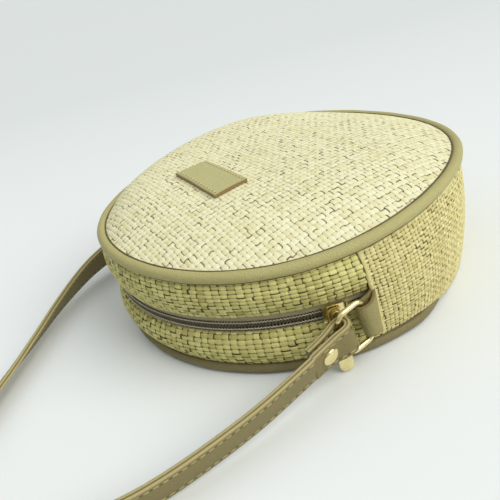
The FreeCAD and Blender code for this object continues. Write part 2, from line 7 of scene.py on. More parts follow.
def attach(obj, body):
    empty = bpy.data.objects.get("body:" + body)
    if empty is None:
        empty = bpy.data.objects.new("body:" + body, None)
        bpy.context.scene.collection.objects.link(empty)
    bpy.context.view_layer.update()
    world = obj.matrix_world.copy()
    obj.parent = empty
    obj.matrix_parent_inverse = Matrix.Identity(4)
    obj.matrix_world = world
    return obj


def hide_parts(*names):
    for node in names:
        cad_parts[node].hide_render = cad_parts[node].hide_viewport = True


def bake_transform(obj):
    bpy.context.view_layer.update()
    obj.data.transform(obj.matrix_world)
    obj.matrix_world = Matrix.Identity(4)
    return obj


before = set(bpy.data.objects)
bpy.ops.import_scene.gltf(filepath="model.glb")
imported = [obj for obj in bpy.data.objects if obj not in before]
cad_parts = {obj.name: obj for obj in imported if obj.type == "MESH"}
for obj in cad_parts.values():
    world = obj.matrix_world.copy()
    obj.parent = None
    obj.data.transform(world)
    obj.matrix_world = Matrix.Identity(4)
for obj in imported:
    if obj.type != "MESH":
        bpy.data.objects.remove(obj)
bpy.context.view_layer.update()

# Sizes of the bag in millimetres and degrees, most of them the construction's own.
RIM = 90.0
BACK_RIM_Z = 2.5
FRONT_RIM_Z = 51.3
PIPING = 2.5
WALL_RIM = 90.4
WALL_LOW = 5.05
WALL_HIGH = 48.75
BASE_BULGE = 3.6
STRIP_BULGE = 2.5
ZIP_Z = 24.5
ZIP_EDGE_HALF = 4.2
ZIP_EDGE_R = 90.6
TAPE_R = 88.9
COIL_R = 89.3
COIL_FROM = -131.0
COIL_TO = -18.1
SEAM_RIGHT = -10.0
SEAM_LEFT = -170.0
PANEL_EDGE = 87.35
PANEL_EDGE_Z = 52.9
CROWN = 11.1
STRAP_HALF = 7.25
STRAP_THICK = 2.6
RING_Z = 21.8
RING_BAR = 97.6
RING_PITCH = 10.0
RING_LENGTH = 12.6
RING_HALF = 9.7
RING_CORNER = 3.6
WIRE = 1.2
TAB_TURN = 14.75
TAB_HALF = 7.5
LABEL_HALF = (20.5, 8.9)
LABEL_Y = -34.0


# Mesh building.

def piece(name, verts, faces, material):
    """A new smooth mesh object from points in millimetres."""
    mesh = bpy.data.meshes.new(name)
    mesh.from_pydata((np.asarray(verts, float) * 0.001).tolist(), [], [list(f) for f in faces])
    mesh.materials.append(material)
    mesh.polygons.foreach_set("use_smooth", [True] * len(mesh.polygons))
    mesh.update()
    obj = bpy.data.objects.new(name, mesh)
    bpy.context.scene.collection.objects.link(obj)
    return obj


def mark(obj, name, values):
    """One number for each point, which a material can read."""
    layer = obj.data.attributes.new(name, "FLOAT", "POINT")
    layer.data.foreach_set("value", np.asarray(values, np.float32))


def lay_uv(obj, name, coords):
    """A map from the points' own two coordinates."""
    layer = obj.data.uv_layers.new(name=name)
    loops = np.zeros(len(obj.data.loops), np.int32)
    obj.data.loops.foreach_get("vertex_index", loops)
    layer.data.foreach_set("uv", np.asarray(coords, np.float32)[loops].ravel())


def grid_faces(rows, columns, close_rows=False, close_columns=False):
    """Quads of a grid of points kept row by row."""
    faces = []
    for i in range(rows if close_rows else rows - 1):
        for j in range(columns if close_columns else columns - 1):
            a, b = i % rows, (i + 1) % rows
            c, d = j % columns, (j + 1) % columns
            faces.append((a * columns + c, a * columns + d, b * columns + d, b * columns + c))
    return faces


class Heap:
    """Many small shapes gathered into one mesh."""

    def __init__(self):
        self.verts = []
        self.faces = []

    def add(self, verts, faces):
        base = len(self.verts)
        self.verts.extend(verts)
        self.faces.extend([tuple(base + i for i in f) for f in faces])

    def dash(self, a, b, across, up, width, height):
        """A stitch or tooth from a to b, rounded off at its ends."""
        a, b, across, up = (np.asarray(v, float) for v in (a, b, across, up))
        rings = []
        for place, grow in ((0.0, 0.45), (0.2, 1.0), (0.8, 1.0), (1.0, 0.45)):
            middle = a + (b - a) * place
            for w, h in ((-1, 0), (-0.6, 0.8), (0.6, 0.8), (1, 0), (0.6, -0.8), (-0.6, -0.8)):
                rings.append(middle + across * (w * grow * width / 2) + up * (h * grow * height / 2))
        faces = grid_faces(4, 6, close_columns=True)
        faces.append((5, 4, 3, 2, 1, 0))
        faces.append((18, 19, 20, 21, 22, 23))
        self.add(rings, faces)

    def made(self, name, material, slot):
        return piece(name, self.verts, self.faces, material)


def polar(radius, degrees, z):
    angle = np.radians(degrees)
    return np.stack(np.broadcast_arrays(radius * np.cos(angle), radius * np.sin(angle), z), -1)


def outward_and_along(degrees):
    """The level directions out of the bag and round it, at a turn."""
    out = polar(1.0, degrees, 0.0)
    return out, np.array([-out[1], out[0], 0.0])


def unit(v):
    """A direction, or each row of directions, at a length of 1."""
    v = np.asarray(v, float)
    return v / np.linalg.norm(v, axis=-1, keepdims=True)


def run_length(points):
    """The way along a line to each of its points."""
    return np.concatenate([[0], np.cumsum(np.linalg.norm(np.diff(points, axis=0), axis=1))])


def ease_between(value, low, high):
    t = np.clip((value - low) / (high - low), 0, 1)
    return t * t * (3 - 2 * t)


# The bag's own shape: a front rim pulled a little out of round, a crowned front and a bowed wall.
# Each wave round the rim has its share of cosine and of sine.

RIM_OUT_WAVES = {2: (-0.3, -1.0), 3: (-0.75, 0.55), 4: (0.25, -0.55)}
RIM_LIFT_WAVES = {1: (-0.3, 0.95), 2: (0.35, 0.45), 3: (0.2, 1.4)}
FAR_DIP = 0.7
FAR_DIP_TURN = 165.0
SHOULDER_ROUND = 3.2
SHOULDER_FULLER = 7.0
SHOULDER_TURN = 196.0
SLACK_GROWS = (0.0, 26.0)
SLACK_FADES = (100.0, 150.0)
ZIP_DRAW = 2.4
ZIP_DRAW_TURN = -125.0
SLACK_DRAW = 6.0
WALL_SAG = 3.6
SAG_IN = 2.4
SAG_TILT = 2.0
SEAM_LEAN_LOW = 0.4
SEAM_LEAN_HIGH = -2.8
SEAM_FADE = 60.0
SEAM_FLATTER = 0.35
FLATTER_FROM = 88.0
FLATTER_RUN = 12.0
SLACK_FLATTER = 0.5
BACK_STRIP_TOP = 0.35
FRONT_STRIP_FOOT = 0.54
STRIP_TURN_ON = 0.25
STRIP_TURN_IN = 15.0
FRONT_STRIP_GAP = 0.9
BACK_FACE_Z = 0.9
BACK_EDGE_RISE = 0.9
EDGE_FALL = 0.15


def towards(degrees, turn):
    """The cosine of how far a direction lies from a turn, and 0 where it faces away."""
    return np.clip(np.cos(np.radians(np.asarray(degrees, float) - turn)), 0, 1)


def waves(degrees, parts):
    a = np.radians(np.asarray(degrees, float))
    return sum(c * np.cos(n * a) + s * np.sin(n * a) for n, (c, s) in parts.items())


def rim_pull(degrees):
    """How far the front rim stands out of its circle, and above or below its plane."""
    lift = waves(degrees, RIM_LIFT_WAVES) - FAR_DIP * towards(degrees, FAR_DIP_TURN) ** 3
    return waves(degrees, RIM_OUT_WAVES), lift


def shoulder(degrees):
    """How square the crowned front's shoulder is: round towards the zip, full at the far side."""
    full = np.minimum(1.2 * towards(degrees, SHOULDER_TURN), 1)
    return SHOULDER_ROUND + SHOULDER_FULLER * full ** 2


def slack_side(degrees):
    """Where the base's wall hangs slack over the back rim, from 0 to 1."""
    turn = (np.asarray(degrees, float) + 180.0) % 360.0 - 180.0
    return ease_between(turn, *SLACK_GROWS) * (1 - ease_between(turn, *SLACK_FADES))


def front_pull(degrees):
    """How far the wall's lower edge is drawn in on the zip's side."""
    return -ZIP_DRAW * towards(degrees, ZIP_DRAW_TURN) ** 1.2


def back_pull(degrees):
    """How far the back rim is drawn in, where the wall sags over it."""
    return front_pull(degrees) - SLACK_DRAW * slack_side(degrees)


def front_surface(x, y, lift):
    """A point over the crowned front, raised from its face by lift."""
    x, y, lift = np.broadcast_arrays(np.asarray(x, float), np.asarray(y, float), np.asarray(lift, float))
    angle = np.degrees(np.arctan2(y, x))
    out, rise = rim_pull(angle)
    reach = np.hypot(x, y)
    edge = PANEL_EDGE + out
    share = reach / edge
    full = shoulder(angle)
    # Past its edge, inside the piping, the panel soon stops falling.
    bent = np.minimum(share, 1 + EDGE_FALL / full)
    z = PANEL_EDGE_Z + rise * share ** 3 + CROWN * (1 - bent ** full)
    slope = (3 * rise * share ** 2 - full * CROWN * bent ** (full - 1)) / edge
    ux = np.where(reach > 1e-6, x / np.maximum(reach, 1e-6), 0.0)
    uy = np.where(reach > 1e-6, y / np.maximum(reach, 1e-6), 0.0)
    normal = unit(np.stack([-slope * ux, -slope * uy, np.ones_like(x)], -1))
    return np.stack([x, y, z], -1) + normal * lift[..., None]


def back_surface(x, y, lift):
    """A point under the flat back, with lift going outward and so down."""
    x, y, lift = np.broadcast_arrays(np.asarray(x, float), np.asarray(y, float), np.asarray(lift, float))
    share = np.hypot(x, y) / PANEL_EDGE
    return np.stack([x, y, BACK_FACE_Z + BACK_EDGE_RISE * share ** 6 - lift], -1)


def wall_point(degrees, radius, z, tilt, lift):
    """A point of the wall, moved out along its face; tilt is the face's lean in the upright plane."""
    flat = 1.0 / np.sqrt(1.0 + tilt * tilt)
    return polar(radius + lift * flat, degrees, z - lift * flat * tilt)


def seam_shift(degrees, share):
    """How far the side seams lean round the bag, fading out away from them."""
    def near(seam):
        return np.clip(1 - np.abs(degrees - seam) / SEAM_FADE, 0, 1)

    lean = SEAM_LEAN_LOW + (SEAM_LEAN_HIGH - SEAM_LEAN_LOW) * np.clip(share, 0, 1)
    return lean * (near(SEAM_RIGHT) - near(SEAM_LEFT) - near(360 + SEAM_LEFT))


def base_surface(degrees, share, lift):
    """The bowed wall of the base, with share from the back rim to the front rim."""
    degrees = degrees + seam_shift(degrees, share)
    out, rise = rim_pull(degrees)
    pull = np.clip(share, 0, 1.2) ** 2
    slack = slack_side(degrees)
    near_seam = np.clip((np.abs(degrees - 90.0) - FLATTER_FROM) / FLATTER_RUN, 0, 1)
    bow = BASE_BULGE * (1.0 - SEAM_FLATTER * near_seam ** 2 - SLACK_FLATTER * slack)
    low = WALL_LOW - WALL_SAG * slack
    z = low + (WALL_HIGH - low) * share + rise * pull
    radius = WALL_RIM + out * pull + bow * (1 - (2 * share - 1) ** 2)
    radius = radius + (front_pull(degrees) - SAG_IN * slack) * (1 - np.clip(share, 0, 1)) ** 1.3
    tilt = (2 * out * share + bow * (4 - 8 * share) + SAG_TILT * slack) / (WALL_HIGH - WALL_LOW)
    return wall_point(degrees, radius, z, tilt, lift)


def back_strip_surface(degrees, share, lift):
    """The straw strip behind the zip; past a share of 1 it turns in over the tape."""
    top = ZIP_Z - ZIP_EDGE_HALF
    degrees = degrees + seam_shift(degrees, BACK_STRIP_TOP * share)
    fold = np.clip(share - 1, 0, 1)
    s = np.clip(share, -1, 1)
    z = WALL_LOW + (top - WALL_LOW) * (s + STRIP_TURN_ON * fold)
    radius = WALL_RIM + (ZIP_EDGE_R - WALL_RIM) * s + 4 * STRIP_BULGE * s * (1 - s)
    radius = radius - STRIP_TURN_IN * fold + front_pull(degrees) * (1 - np.clip(s, 0, 1)) ** 2
    tilt = 4 * STRIP_BULGE * (1 - 2 * s) / (top - WALL_LOW)
    return wall_point(degrees, radius, z, tilt, lift)


def front_strip_surface(degrees, share, lift):
    """The straw strip before the zip; below a share of 0 it turns in over the tape."""
    low = ZIP_Z + ZIP_EDGE_HALF + FRONT_STRIP_GAP
    degrees = degrees + seam_shift(degrees, FRONT_STRIP_FOOT + (1 - FRONT_STRIP_FOOT) * share)
    out, rise = rim_pull(degrees)
    fold = np.clip(-share, 0, 1)
    s = np.clip(share, 0, 2)
    z = low + (WALL_HIGH - low) * (s - STRIP_TURN_ON * fold) + rise * s ** 2
    radius = ZIP_EDGE_R + (WALL_RIM - ZIP_EDGE_R) * s + 4 * STRIP_BULGE * s * (1 - s)
    radius = radius + out * s ** 2 - STRIP_TURN_IN * fold
    tilt = (4 * STRIP_BULGE * (1 - 2 * s) + 2 * out * s) / (WALL_HIGH - low)
    return wall_point(degrees, radius, z, tilt, lift)


# Materials. Each shared effect is one node group.

def feed(tree, socket, value):
    """Set a socket to a number, a list or an opaque colour, or link it to an output."""
    if isinstance(value, bpy.types.NodeSocket):
        tree.links.new(value, socket)
    else:
        socket.default_value = (*value, 1.0) if isinstance(value, tuple) else value


def add_node(tree, kind, values=None, **settings):
    """A new node with its settings, and with values or outputs for some of its inputs."""
    node = tree.nodes.new(kind)
    for key, value in settings.items():
        setattr(node, key, value)
    for key, value in (values or {}).items():
        feed(tree, node.inputs[key], value)
    return node


def mix_colours(tree, share, first, second):
    return add_node(tree, "ShaderNodeMix", {0: share, 6: first, 7: second}, data_type="RGBA").outputs[2]


def remap(tree, value, low, high, to_low, to_high):
    values = {0: value, 1: low, 2: high, 3: to_low, 4: to_high}
    return add_node(tree, "ShaderNodeMapRange", values).outputs[0]


def maths(tree, operation, first, second):
    return add_node(tree, "ShaderNodeMath", {0: first, 1: second}, operation=operation).outputs[0]


def tint(tree, colour, other, mask, strength):
    """A colour turned towards another one where a mask is strong."""
    return mix_colours(tree, maths(tree, "MULTIPLY", mask, strength), colour, other)


def noise(tree, place, scale, detail, rough):
    values = {"Vector": place, "Scale": scale, "Detail": detail, "Roughness": rough}
    return add_node(tree, "ShaderNodeTexNoise", values).outputs


def attribute(tree, name):
    return add_node(tree, "ShaderNodeAttribute", attribute_name=name).outputs["Fac"]


def new_group(name, takes, gives):
    """An empty node group, with what it is given and the sockets of its results.

    It takes numbers with a value each, or a map where the value is None, and gives numbers."""
    tree = bpy.data.node_groups.new(name, "ShaderNodeTree")
    for label, value in takes.items():
        kind = "NodeSocketVector" if value is None else "NodeSocketFloat"
        socket = tree.interface.new_socket(label, in_out="INPUT", socket_type=kind)
        if value is not None:
            socket.default_value = value
    for label in gives:
        tree.interface.new_socket(label, in_out="OUTPUT", socket_type="NodeSocketFloat")
    return tree, tree.nodes.new("NodeGroupInput").outputs, tree.nodes.new("NodeGroupOutput").inputs


def make_fibre_group():
    """Long streaks of a dried leaf, from a map that runs along the strip."""
    tree, given, result = new_group("strip_fibre", {"Map": None, "Fine": 1.0}, ("Streak", "Height"))
    stretch = add_node(tree, "ShaderNodeMapping", {"Vector": given["Map"], "Scale": [0.05, 2.6, 1.0]})
    broad = noise(tree, stretch.outputs[0], given["Fine"], 3.0, 0.6)
    finer = maths(tree, "MULTIPLY", given["Fine"], 3.4)
    fine = noise(tree, stretch.outputs[0], finer, 2.0, 0.5)
    both = maths(tree, "ADD", broad[0], fine[0])
    feed(tree, result["Streak"], remap(tree, both, 0.7, 1.3, 0.0, 1.0))
    feed(tree, result["Height"], fine[0])
    return tree


def make_blotch_group():
    """Slow, cloudy unevenness of a dyed or dried stuff."""
    tree, given, result = new_group("cloudy_tone", {"Size": 60.0}, ("Cloud", "Fleck"))
    place = add_node(tree, "ShaderNodeTexCoord").outputs["Object"]
    cloud = noise(tree, place, given["Size"], 4.0, 0.55)
    fleck = noise(tree, place, maths(tree, "MULTIPLY", given["Size"], 9.0), 1.0, 0.5)
    feed(tree, result["Cloud"], remap(tree, cloud[0], 0.3, 0.7, 0.0, 1.0))
    feed(tree, result["Fleck"], remap(tree, fleck[0], 0.55, 0.75, 0.0, 1.0))
    return tree


def make_grain_group():
    """Pebbled leather: small cells with creases between them."""
    tree, given, result = new_group("leather_grain", {"Size": 900.0}, ("Crease", "Height"))
    place = add_node(tree, "ShaderNodeTexCoord").outputs["Object"]
    warp = noise(tree, place, 700.0, 2.0, 0.5)["Color"]
    shift = add_node(tree, "ShaderNodeVectorMath", {0: warp, 1: [0.0008] * 3, 2: place},
                     operation="MULTIPLY_ADD")
    cells = add_node(tree, "ShaderNodeTexVoronoi", {"Vector": shift.outputs[0], "Scale": given["Size"]},
                     feature="DISTANCE_TO_EDGE")
    feed(tree, result["Crease"], remap(tree, cells.outputs[0], 0.0, 0.16, 1.0, 0.0))
    feed(tree, result["Height"], remap(tree, cells.outputs[0], 0.0, 0.3, 0.0, 1.0))
    return tree


def make_cloth_group():
    """Crossed threads of a woven cloth, from a map laid over it."""
    tree, given, result = new_group("cloth_threads", {"Map": None, "Threads": 1.0}, ("Thread", "Height"))
    values = {"Vector": given["Map"], "Scale": given["Threads"], "Distortion": 0.6, "Detail": 1.0}
    heights = []
    for direction in ("X", "Y"):
        wave = add_node(tree, "ShaderNodeTexWave", values, wave_type="BANDS", bands_direction=direction)
        heights.append(wave.outputs[1])
    top = maths(tree, "MAXIMUM", *heights)
    feed(tree, result["Height"], top)
    feed(tree, result["Thread"], remap(tree, top, 0.2, 1.0, 0.0, 1.0))
    return tree


fibre_group = make_fibre_group()
blotch_group = make_blotch_group()
grain_group = make_grain_group()
cloth_group = make_cloth_group()


def start_material(name):
    material = bpy.data.materials.new(name)
    material.use_nodes = True
    tree = material.node_tree
    return material, tree, tree.nodes["Principled BSDF"]


def use_group(tree, group, **values):
    """The results of a shared effect."""
    return add_node(tree, "ShaderNodeGroup", values, node_tree=group).outputs


def dress(tree, surface, colour, rough, height=None, strength=0.0, distance=0.0):
    """Give a surface its colour and roughness, and a fine relief where there is a height."""
    feed(tree, surface.inputs["Base Color"], colour)
    feed(tree, surface.inputs["Roughness"], rough)
    if height is not None:
        values = {"Height": height, "Strength": strength, "Distance": distance}
        feed(tree, surface.inputs["Normal"], add_node(tree, "ShaderNodeBump", values).outputs[0])


def straw_material(name, pale, dark, shade_colour):
    """Flat strips of dried leaf, each with its own tone, streaked along it, with painted shade where it
    dives under and along its floats' sides.
    """
    material, tree, surface = start_material(name)
    strip_map = add_node(tree, "ShaderNodeUVMap", uv_map="strip_map").outputs[0]
    fibre = use_group(tree, fibre_group, Map=strip_map, Fine=1.0)
    cloud = use_group(tree, blotch_group, Size=35.0)
    colour = mix_colours(tree, attribute(tree, "strip_tone"), pale, dark)
    colour = tint(tree, colour, dark, fibre["Streak"], 0.7)
    colour = tint(tree, colour, dark, cloud["Cloud"], 0.25)
    # Painted shade: the colour goes to the shade colour where a strip dives under and along a float's sides.
    slit = remap(tree, attribute(tree, "strip_painted_shade"), 0.42, 0.8, 0.0, 1.0)
    colour = mix_colours(tree, slit, colour, shade_colour)
    rough = remap(tree, fibre["Streak"], 0.0, 1.0, 0.5, 0.68)
    dress(tree, surface, colour, rough, fibre["Height"], 0.55, 0.0004)
    return material


def ground_material(name, dark, light):
    """A dark sheet of painted shade, seen in the slits between the strips."""
    material, tree, surface = start_material(name)
    cloud = use_group(tree, blotch_group, Size=400.0)
    dress(tree, surface, mix_colours(tree, cloud["Cloud"], dark, light), 0.9)
    return material


def leather_material(name, face, crease, raw, size=1100.0, shine=0.42):
    """Dyed leather with a fine grain; marked edges show the raw brown side, and on the strap the mark
    also carries a painted highlight on the rolled hem.
    """
    material, tree, surface = start_material(name)
    grain = use_group(tree, grain_group, Size=size)
    cloud = use_group(tree, blotch_group, Size=90.0)
    colour = tint(tree, face, crease, grain["Crease"], 0.4)
    colour = tint(tree, colour, crease, cloud["Cloud"], 0.22)
    colour = mix_colours(tree, attribute(tree, "raw_edge_and_hem_highlight"), colour, raw)
    rough = remap(tree, grain["Crease"], 0.0, 1.0, shine, shine + 0.2)
    dress(tree, surface, colour, rough, grain["Height"], 0.45, 0.0004)
    return material


def cloth_material(name, light, dark, threads):
    """A plain woven cloth or tape."""
    material, tree, surface = start_material(name)
    cloth_map = add_node(tree, "ShaderNodeUVMap", uv_map="cloth_map").outputs[0]
    cloth = use_group(tree, cloth_group, Map=cloth_map, Threads=threads)
    cloud = use_group(tree, blotch_group, Size=120.0)
    colour = mix_colours(tree, cloth["Thread"], dark, light)
    colour = tint(tree, colour, dark, cloud["Cloud"], 0.2)
    dress(tree, surface, colour, 0.88, cloth["Height"], 0.3, 0.0002)
    return material


def metal_material(name, bright, dull):
    """Plated metal, brushed thin by handling."""
    material, tree, surface = start_material(name)
    cloud = use_group(tree, blotch_group, Size=260.0)
    colour = mix_colours(tree, cloud["Cloud"], bright, dull)
    rough = remap(tree, cloud["Cloud"], 0.0, 1.0, 0.16, 0.3)
    surface.inputs["Metallic"].default_value = 1.0
    dress(tree, surface, colour, rough, cloud["Fleck"], 0.05, 0.0001)
    return material


def thread_material(name, light, dark, rough):
    """Sewing thread, nylon coil and other small solid stuff, and the painted shade of creases and needle
    holes.
    """
    material, tree, surface = start_material(name)
    cloud = use_group(tree, blotch_group, Size=500.0)
    colour = mix_colours(tree, cloud["Cloud"], light, dark)
    dress(tree, surface, colour, rough, cloud["Fleck"], 0.2, 0.0001)
    return material


# One straw in three copies. The side and zip copies are painted darker and more yellow as shade on the
# walls, the zip copy most; the last colour of each is the painted shade where a strip dives under.
straw = straw_material("pale_straw", (0.95, 0.93, 0.67), (0.77, 0.71, 0.39), (0.15, 0.11, 0.04))
shaded_side_straw = straw_material("shaded_side_straw", (0.96, 0.88, 0.46), (0.60, 0.51, 0.18), (0.12, 0.08, 0.022))
shaded_zip_straw = straw_material("shaded_zip_straw", (0.93, 0.885, 0.36), (0.44, 0.385, 0.105), (0.15, 0.11, 0.03))
# Painted shade: the dark sheets under the weaves.
straw_shade = ground_material("straw_underside_shade", (0.10, 0.075, 0.027), (0.18, 0.14, 0.05))
leather = leather_material("tan_leather", (0.475, 0.43, 0.172), (0.35, 0.30, 0.112), (0.14, 0.075, 0.022))
label_leather = leather_material("label_leather", (0.54, 0.505, 0.225), (0.44, 0.40, 0.16),
                                 (0.20, 0.095, 0.028))
# The back piping's copy of the leather, painted darker as shade.
shaded_piping_leather = leather_material("back_piping_shaded_leather", (0.21, 0.175, 0.065), (0.15, 0.12, 0.042),
                               (0.10, 0.06, 0.02))
tab_leather = leather_material("tab_leather", (0.31, 0.265, 0.095), (0.22, 0.18, 0.06), (0.12, 0.07, 0.02))
strap_leather = leather_material("strap_leather", (0.235, 0.189, 0.062), (0.172, 0.136, 0.042),
                                 (0.52, 0.44, 0.20), 1300.0, 0.45)
lining = cloth_material("lining_cloth", (0.48, 0.42, 0.30), (0.36, 0.31, 0.21), 1.2)
# One tape cloth in two copies: the front one painted lighter as lit, the back one painted darker as shade.
tape_cloth = cloth_material("zip_tape_cloth", (0.46, 0.41, 0.25), (0.32, 0.275, 0.16), 1.6)
shaded_tape_cloth = cloth_material("zip_tape_cloth_shaded", (0.20, 0.17, 0.09), (0.13, 0.105, 0.05), 1.6)
coil_nylon = thread_material("zip_coil_nylon", (0.11, 0.09, 0.045), (0.065, 0.052, 0.025), 0.4)
zip_thread = thread_material("zip_thread", (0.66, 0.60, 0.46), (0.50, 0.44, 0.31), 0.7)
pale_thread = thread_material("pale_thread", (0.72, 0.64, 0.36), (0.56, 0.48, 0.24), 0.7)
strap_thread = thread_material("strap_thread", (0.50, 0.43, 0.205), (0.38, 0.32, 0.14), 0.7)
# Painted shade: the dark of the creases beside the pipings and of the needle holes.
seam_painted_shade = thread_material("seam_shadow", (0.10, 0.075, 0.03), (0.16, 0.125, 0.05), 0.9)
gold = metal_material("pale_gold", (0.90, 0.79, 0.43), (0.80, 0.67, 0.31))
board = thread_material("stiffener_board", (0.42, 0.36, 0.26), (0.36, 0.3, 0.2), 0.9)


# Straw: flat strips going over and under each other.

HALF_FLOAT = 0.29
SIDE_CURL = 0.16
# Points across a strip; the outer two curl down.
STRIP_SIDES = np.array([-1.0, -0.72, 0.72, 1.0])
# Shares of the pitch that a float leaves free: the least, and what chance adds.
SNUG = (0.03, 0.05)
SLIT = (0.08, 0.14)
UNDER_SLACK = 0.12
WIDTH_SPREAD = 0.04
SLIT_ASIDE = 0.45
LINE_WAVER = 0.07
# How dark strips and their floats are by chance, and the painted shade on a strip that goes under.
STRIP_TONE = 0.7
FLOAT_TONE = 0.65
UNDER_SHADE = 0.95
# Places of the strips in the fibre map.
MAP_SHIFT = 300.0
MAP_STEP = 3.7


def strip_run(lines, crossing_up, pitch, rise, loose, pinch, dice):
    """Centres, half widths and lifts of parallel strips, at a few stations to each crossing.

    Most floats fill their cell; a share of them, given by loose, is narrower and leaves a slit
    on one side."""
    shape = crossing_up.shape
    slack = SNUG[0] + SNUG[1] * dice.random(shape)
    slack += np.where(dice.random(shape) < loose, SLIT[0] + SLIT[1] * dice.random(shape), 0.0)
    slack = np.where(crossing_up > 0, slack, UNDER_SLACK)
    side = np.where(dice.random(shape) < 0.5, -1.0, 1.0)
    half = 0.5 * pitch * (1.0 - slack + WIDTH_SPREAD * (dice.random(shape) - 0.5))
    centre = lines[:, None] + side * slack * SLIT_ASIDE * pitch * (crossing_up > 0)
    lift = rise * crossing_up * (0.75 + 0.5 * dice.random(shape))
    half = half[..., None] * np.asarray(pinch)
    count = len(pinch)
    return np.repeat(centre, count, axis=1), half.reshape(len(half), -1), np.repeat(lift, count, axis=1)


def weave(name, surface, columns, rows, inside, seed, scale, rise, loose, line, pinch, material):
    """Woven straw over a surface: strips along its first and its second coordinate.

    columns and rows are the strips' middles in the surface's coordinates, scale the millimetres to
    one unit of each, inside tells which points the piece reaches, line how much painted shade darkens a
    float's sides, and pinch how wide a float is at each station along it."""
    dice = np.random.default_rng(seed)
    over = np.where((np.arange(len(rows))[:, None] + np.arange(len(columns))[None, :]) % 2 == 0, 1.0, -1.0)
    verts, faces, maps, tones, painted_shades = [], [], [], [], []
    total = 0
    outer = np.abs(STRIP_SIDES) == 1.0
    places = np.linspace(-HALF_FLOAT, HALF_FLOAT, len(pinch))
    for along, across, signs, swap, share in ((columns, rows, over, False, loose),
                                              (rows, columns, -over.T, True, 0.6 * loose)):
        along, across = np.asarray(along, float), np.asarray(across, float)
        step = along[1] - along[0]
        pitch = across[1] - across[0]
        stations = (along[:, None] + step * places).ravel()
        lines = across + LINE_WAVER * pitch * (dice.random(len(across)) - 0.5)
        centre, half, lift = strip_run(lines, signs, pitch, rise, share, pinch, dice)
        u = np.broadcast_to(stations[None, :, None], centre.shape + (4,))
        v = centre[..., None] + half[..., None] * STRIP_SIDES
        up = lift[..., None] - SIDE_CURL * outer
        middle = stations[None, :] + 0 * centre
        kept = inside(centre, middle) if swap else inside(middle, centre)
        points = surface(v, u, up) if swap else surface(u, v, up)
        strips, steps = centre.shape
        index = total + np.arange(strips * steps * 4).reshape(strips, steps, 4)
        joined = kept[:, :-1] & kept[:, 1:]
        for a in (0, 1, 2):
            quads = np.stack([index[:, :-1, a], index[:, 1:, a],
                              index[:, 1:, a + 1], index[:, :-1, a + 1]], -1)
            chosen = quads[joined]
            faces.append(chosen[:, ::-1] if swap else chosen)
        run = stations * (scale[1] if swap else scale[0])
        shift = dice.random((strips, 1)) * MAP_SHIFT
        map_along = run[None, :, None] + shift[..., None] + 0 * v
        map_across = np.arange(strips)[:, None, None] * MAP_STEP + STRIP_SIDES + 0 * v
        maps.append(np.stack([map_along, map_across], -1).reshape(-1, 2))
        patch = np.repeat(dice.random(signs.shape), len(pinch), axis=1)
        tone = STRIP_TONE * dice.random((strips, 1)) ** 1.6 + FLOAT_TONE * (patch - 0.4)
        tones.append(np.repeat(np.clip(tone, 0, 1)[..., None], 4, -1).reshape(-1))
        # Painted shade: full where the strip dives under, plus a share of line along the float's sides.
        painted_shade = np.where(lift > 0, 0.0, UNDER_SHADE)[..., None] + line * outer
        painted_shades.append(np.clip(painted_shade, 0, 1).reshape(-1))
        verts.append(points.reshape(-1, 3))
        total += strips * steps * 4
    verts, faces = np.concatenate(verts), np.concatenate(faces)
    used = np.unique(faces)
    renumber = np.zeros(total, int)
    renumber[used] = np.arange(len(used))
    obj = piece(name, verts[used], renumber[faces].tolist(), material)
    mark(obj, "strip_tone", np.concatenate(tones)[used])
    mark(obj, "strip_painted_shade", np.concatenate(painted_shades)[used])
    lay_uv(obj, "strip_map", np.concatenate(maps)[used])
    return obj


def sheet_over(name, surface, first, second, lift, material, slot):
    """A plain sheet over a surface on a grid of its two coordinates, mapped in millimetres."""
    u, v = np.meshgrid(first, second, indexing="ij")
    points = surface(u, v, lift + 0 * u)
    obj = piece(name, points.reshape(-1, 3), grid_faces(len(first), len(second)), material)
    along = run_length(points[:, len(second) // 2])
    across = run_length(points[len(first) // 2])
    lay_uv(obj, "cloth_map", np.stack(np.meshgrid(along, across, indexing="ij"), -1).reshape(-1, 2))
    return obj


def disc_over(name, surface, edge, lift, material, slot):
    """A round sheet over a surface given in plan, out to an edge radius for each direction."""
    rings, spokes = 26, 96
    turn = np.linspace(0, 360, spokes, endpoint=False)
    share = np.linspace(0.02, 1.0, rings)
    reach = share[:, None] * edge(turn)[None, :]
    x, y = reach * np.cos(np.radians(turn)), reach * np.sin(np.radians(turn))
    points = surface(x, y, lift + 0 * x).reshape(-1, 3)
    faces = grid_faces(rings, spokes, close_columns=True)
    faces.append(tuple(range(spokes)))
    obj = piece(name, points, faces, material)
    lay_uv(obj, "cloth_map", np.stack([x, y], -1).reshape(-1, 2))
    return obj


def riding(obj, body, *nodes):
    """A piece that moves with a body, in place of some of the construction's nodes."""
    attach(obj, body)
    if nodes:
        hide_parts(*nodes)


def folding(obj, *nodes):
    """A piece of the front, with its place baked into its mesh, in place of some of the construction's
    nodes.
    """
    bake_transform(obj)
    if nodes:
        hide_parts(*nodes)


def front_edge(degrees):
    return PANEL_EDGE + rim_pull(degrees)[0]


def back_edge(degrees):
    return PANEL_EDGE + back_pull(degrees)


def within_front(x, y):
    return np.hypot(x, y) <= front_edge(np.degrees(np.arctan2(y, x))) + 4.0


def within_back(x, y):
    return np.hypot(x, y) <= back_edge(np.degrees(np.arctan2(y, x))) + 2.0


def everywhere(turn, share):
    return np.ones(np.broadcast(turn, share).shape, bool)


def spaced(low, high, pitch):
    """Middles of strips that fill a span at about that pitch."""
    count = max(2, int(round((high - low) / pitch)))
    width = (high - low) / count
    return low + width * (np.arange(count) + 0.5)


def inside_back(x, y, lift):
    return np.stack([x, y, BACK_LINING_Z + 0 * x], -1)


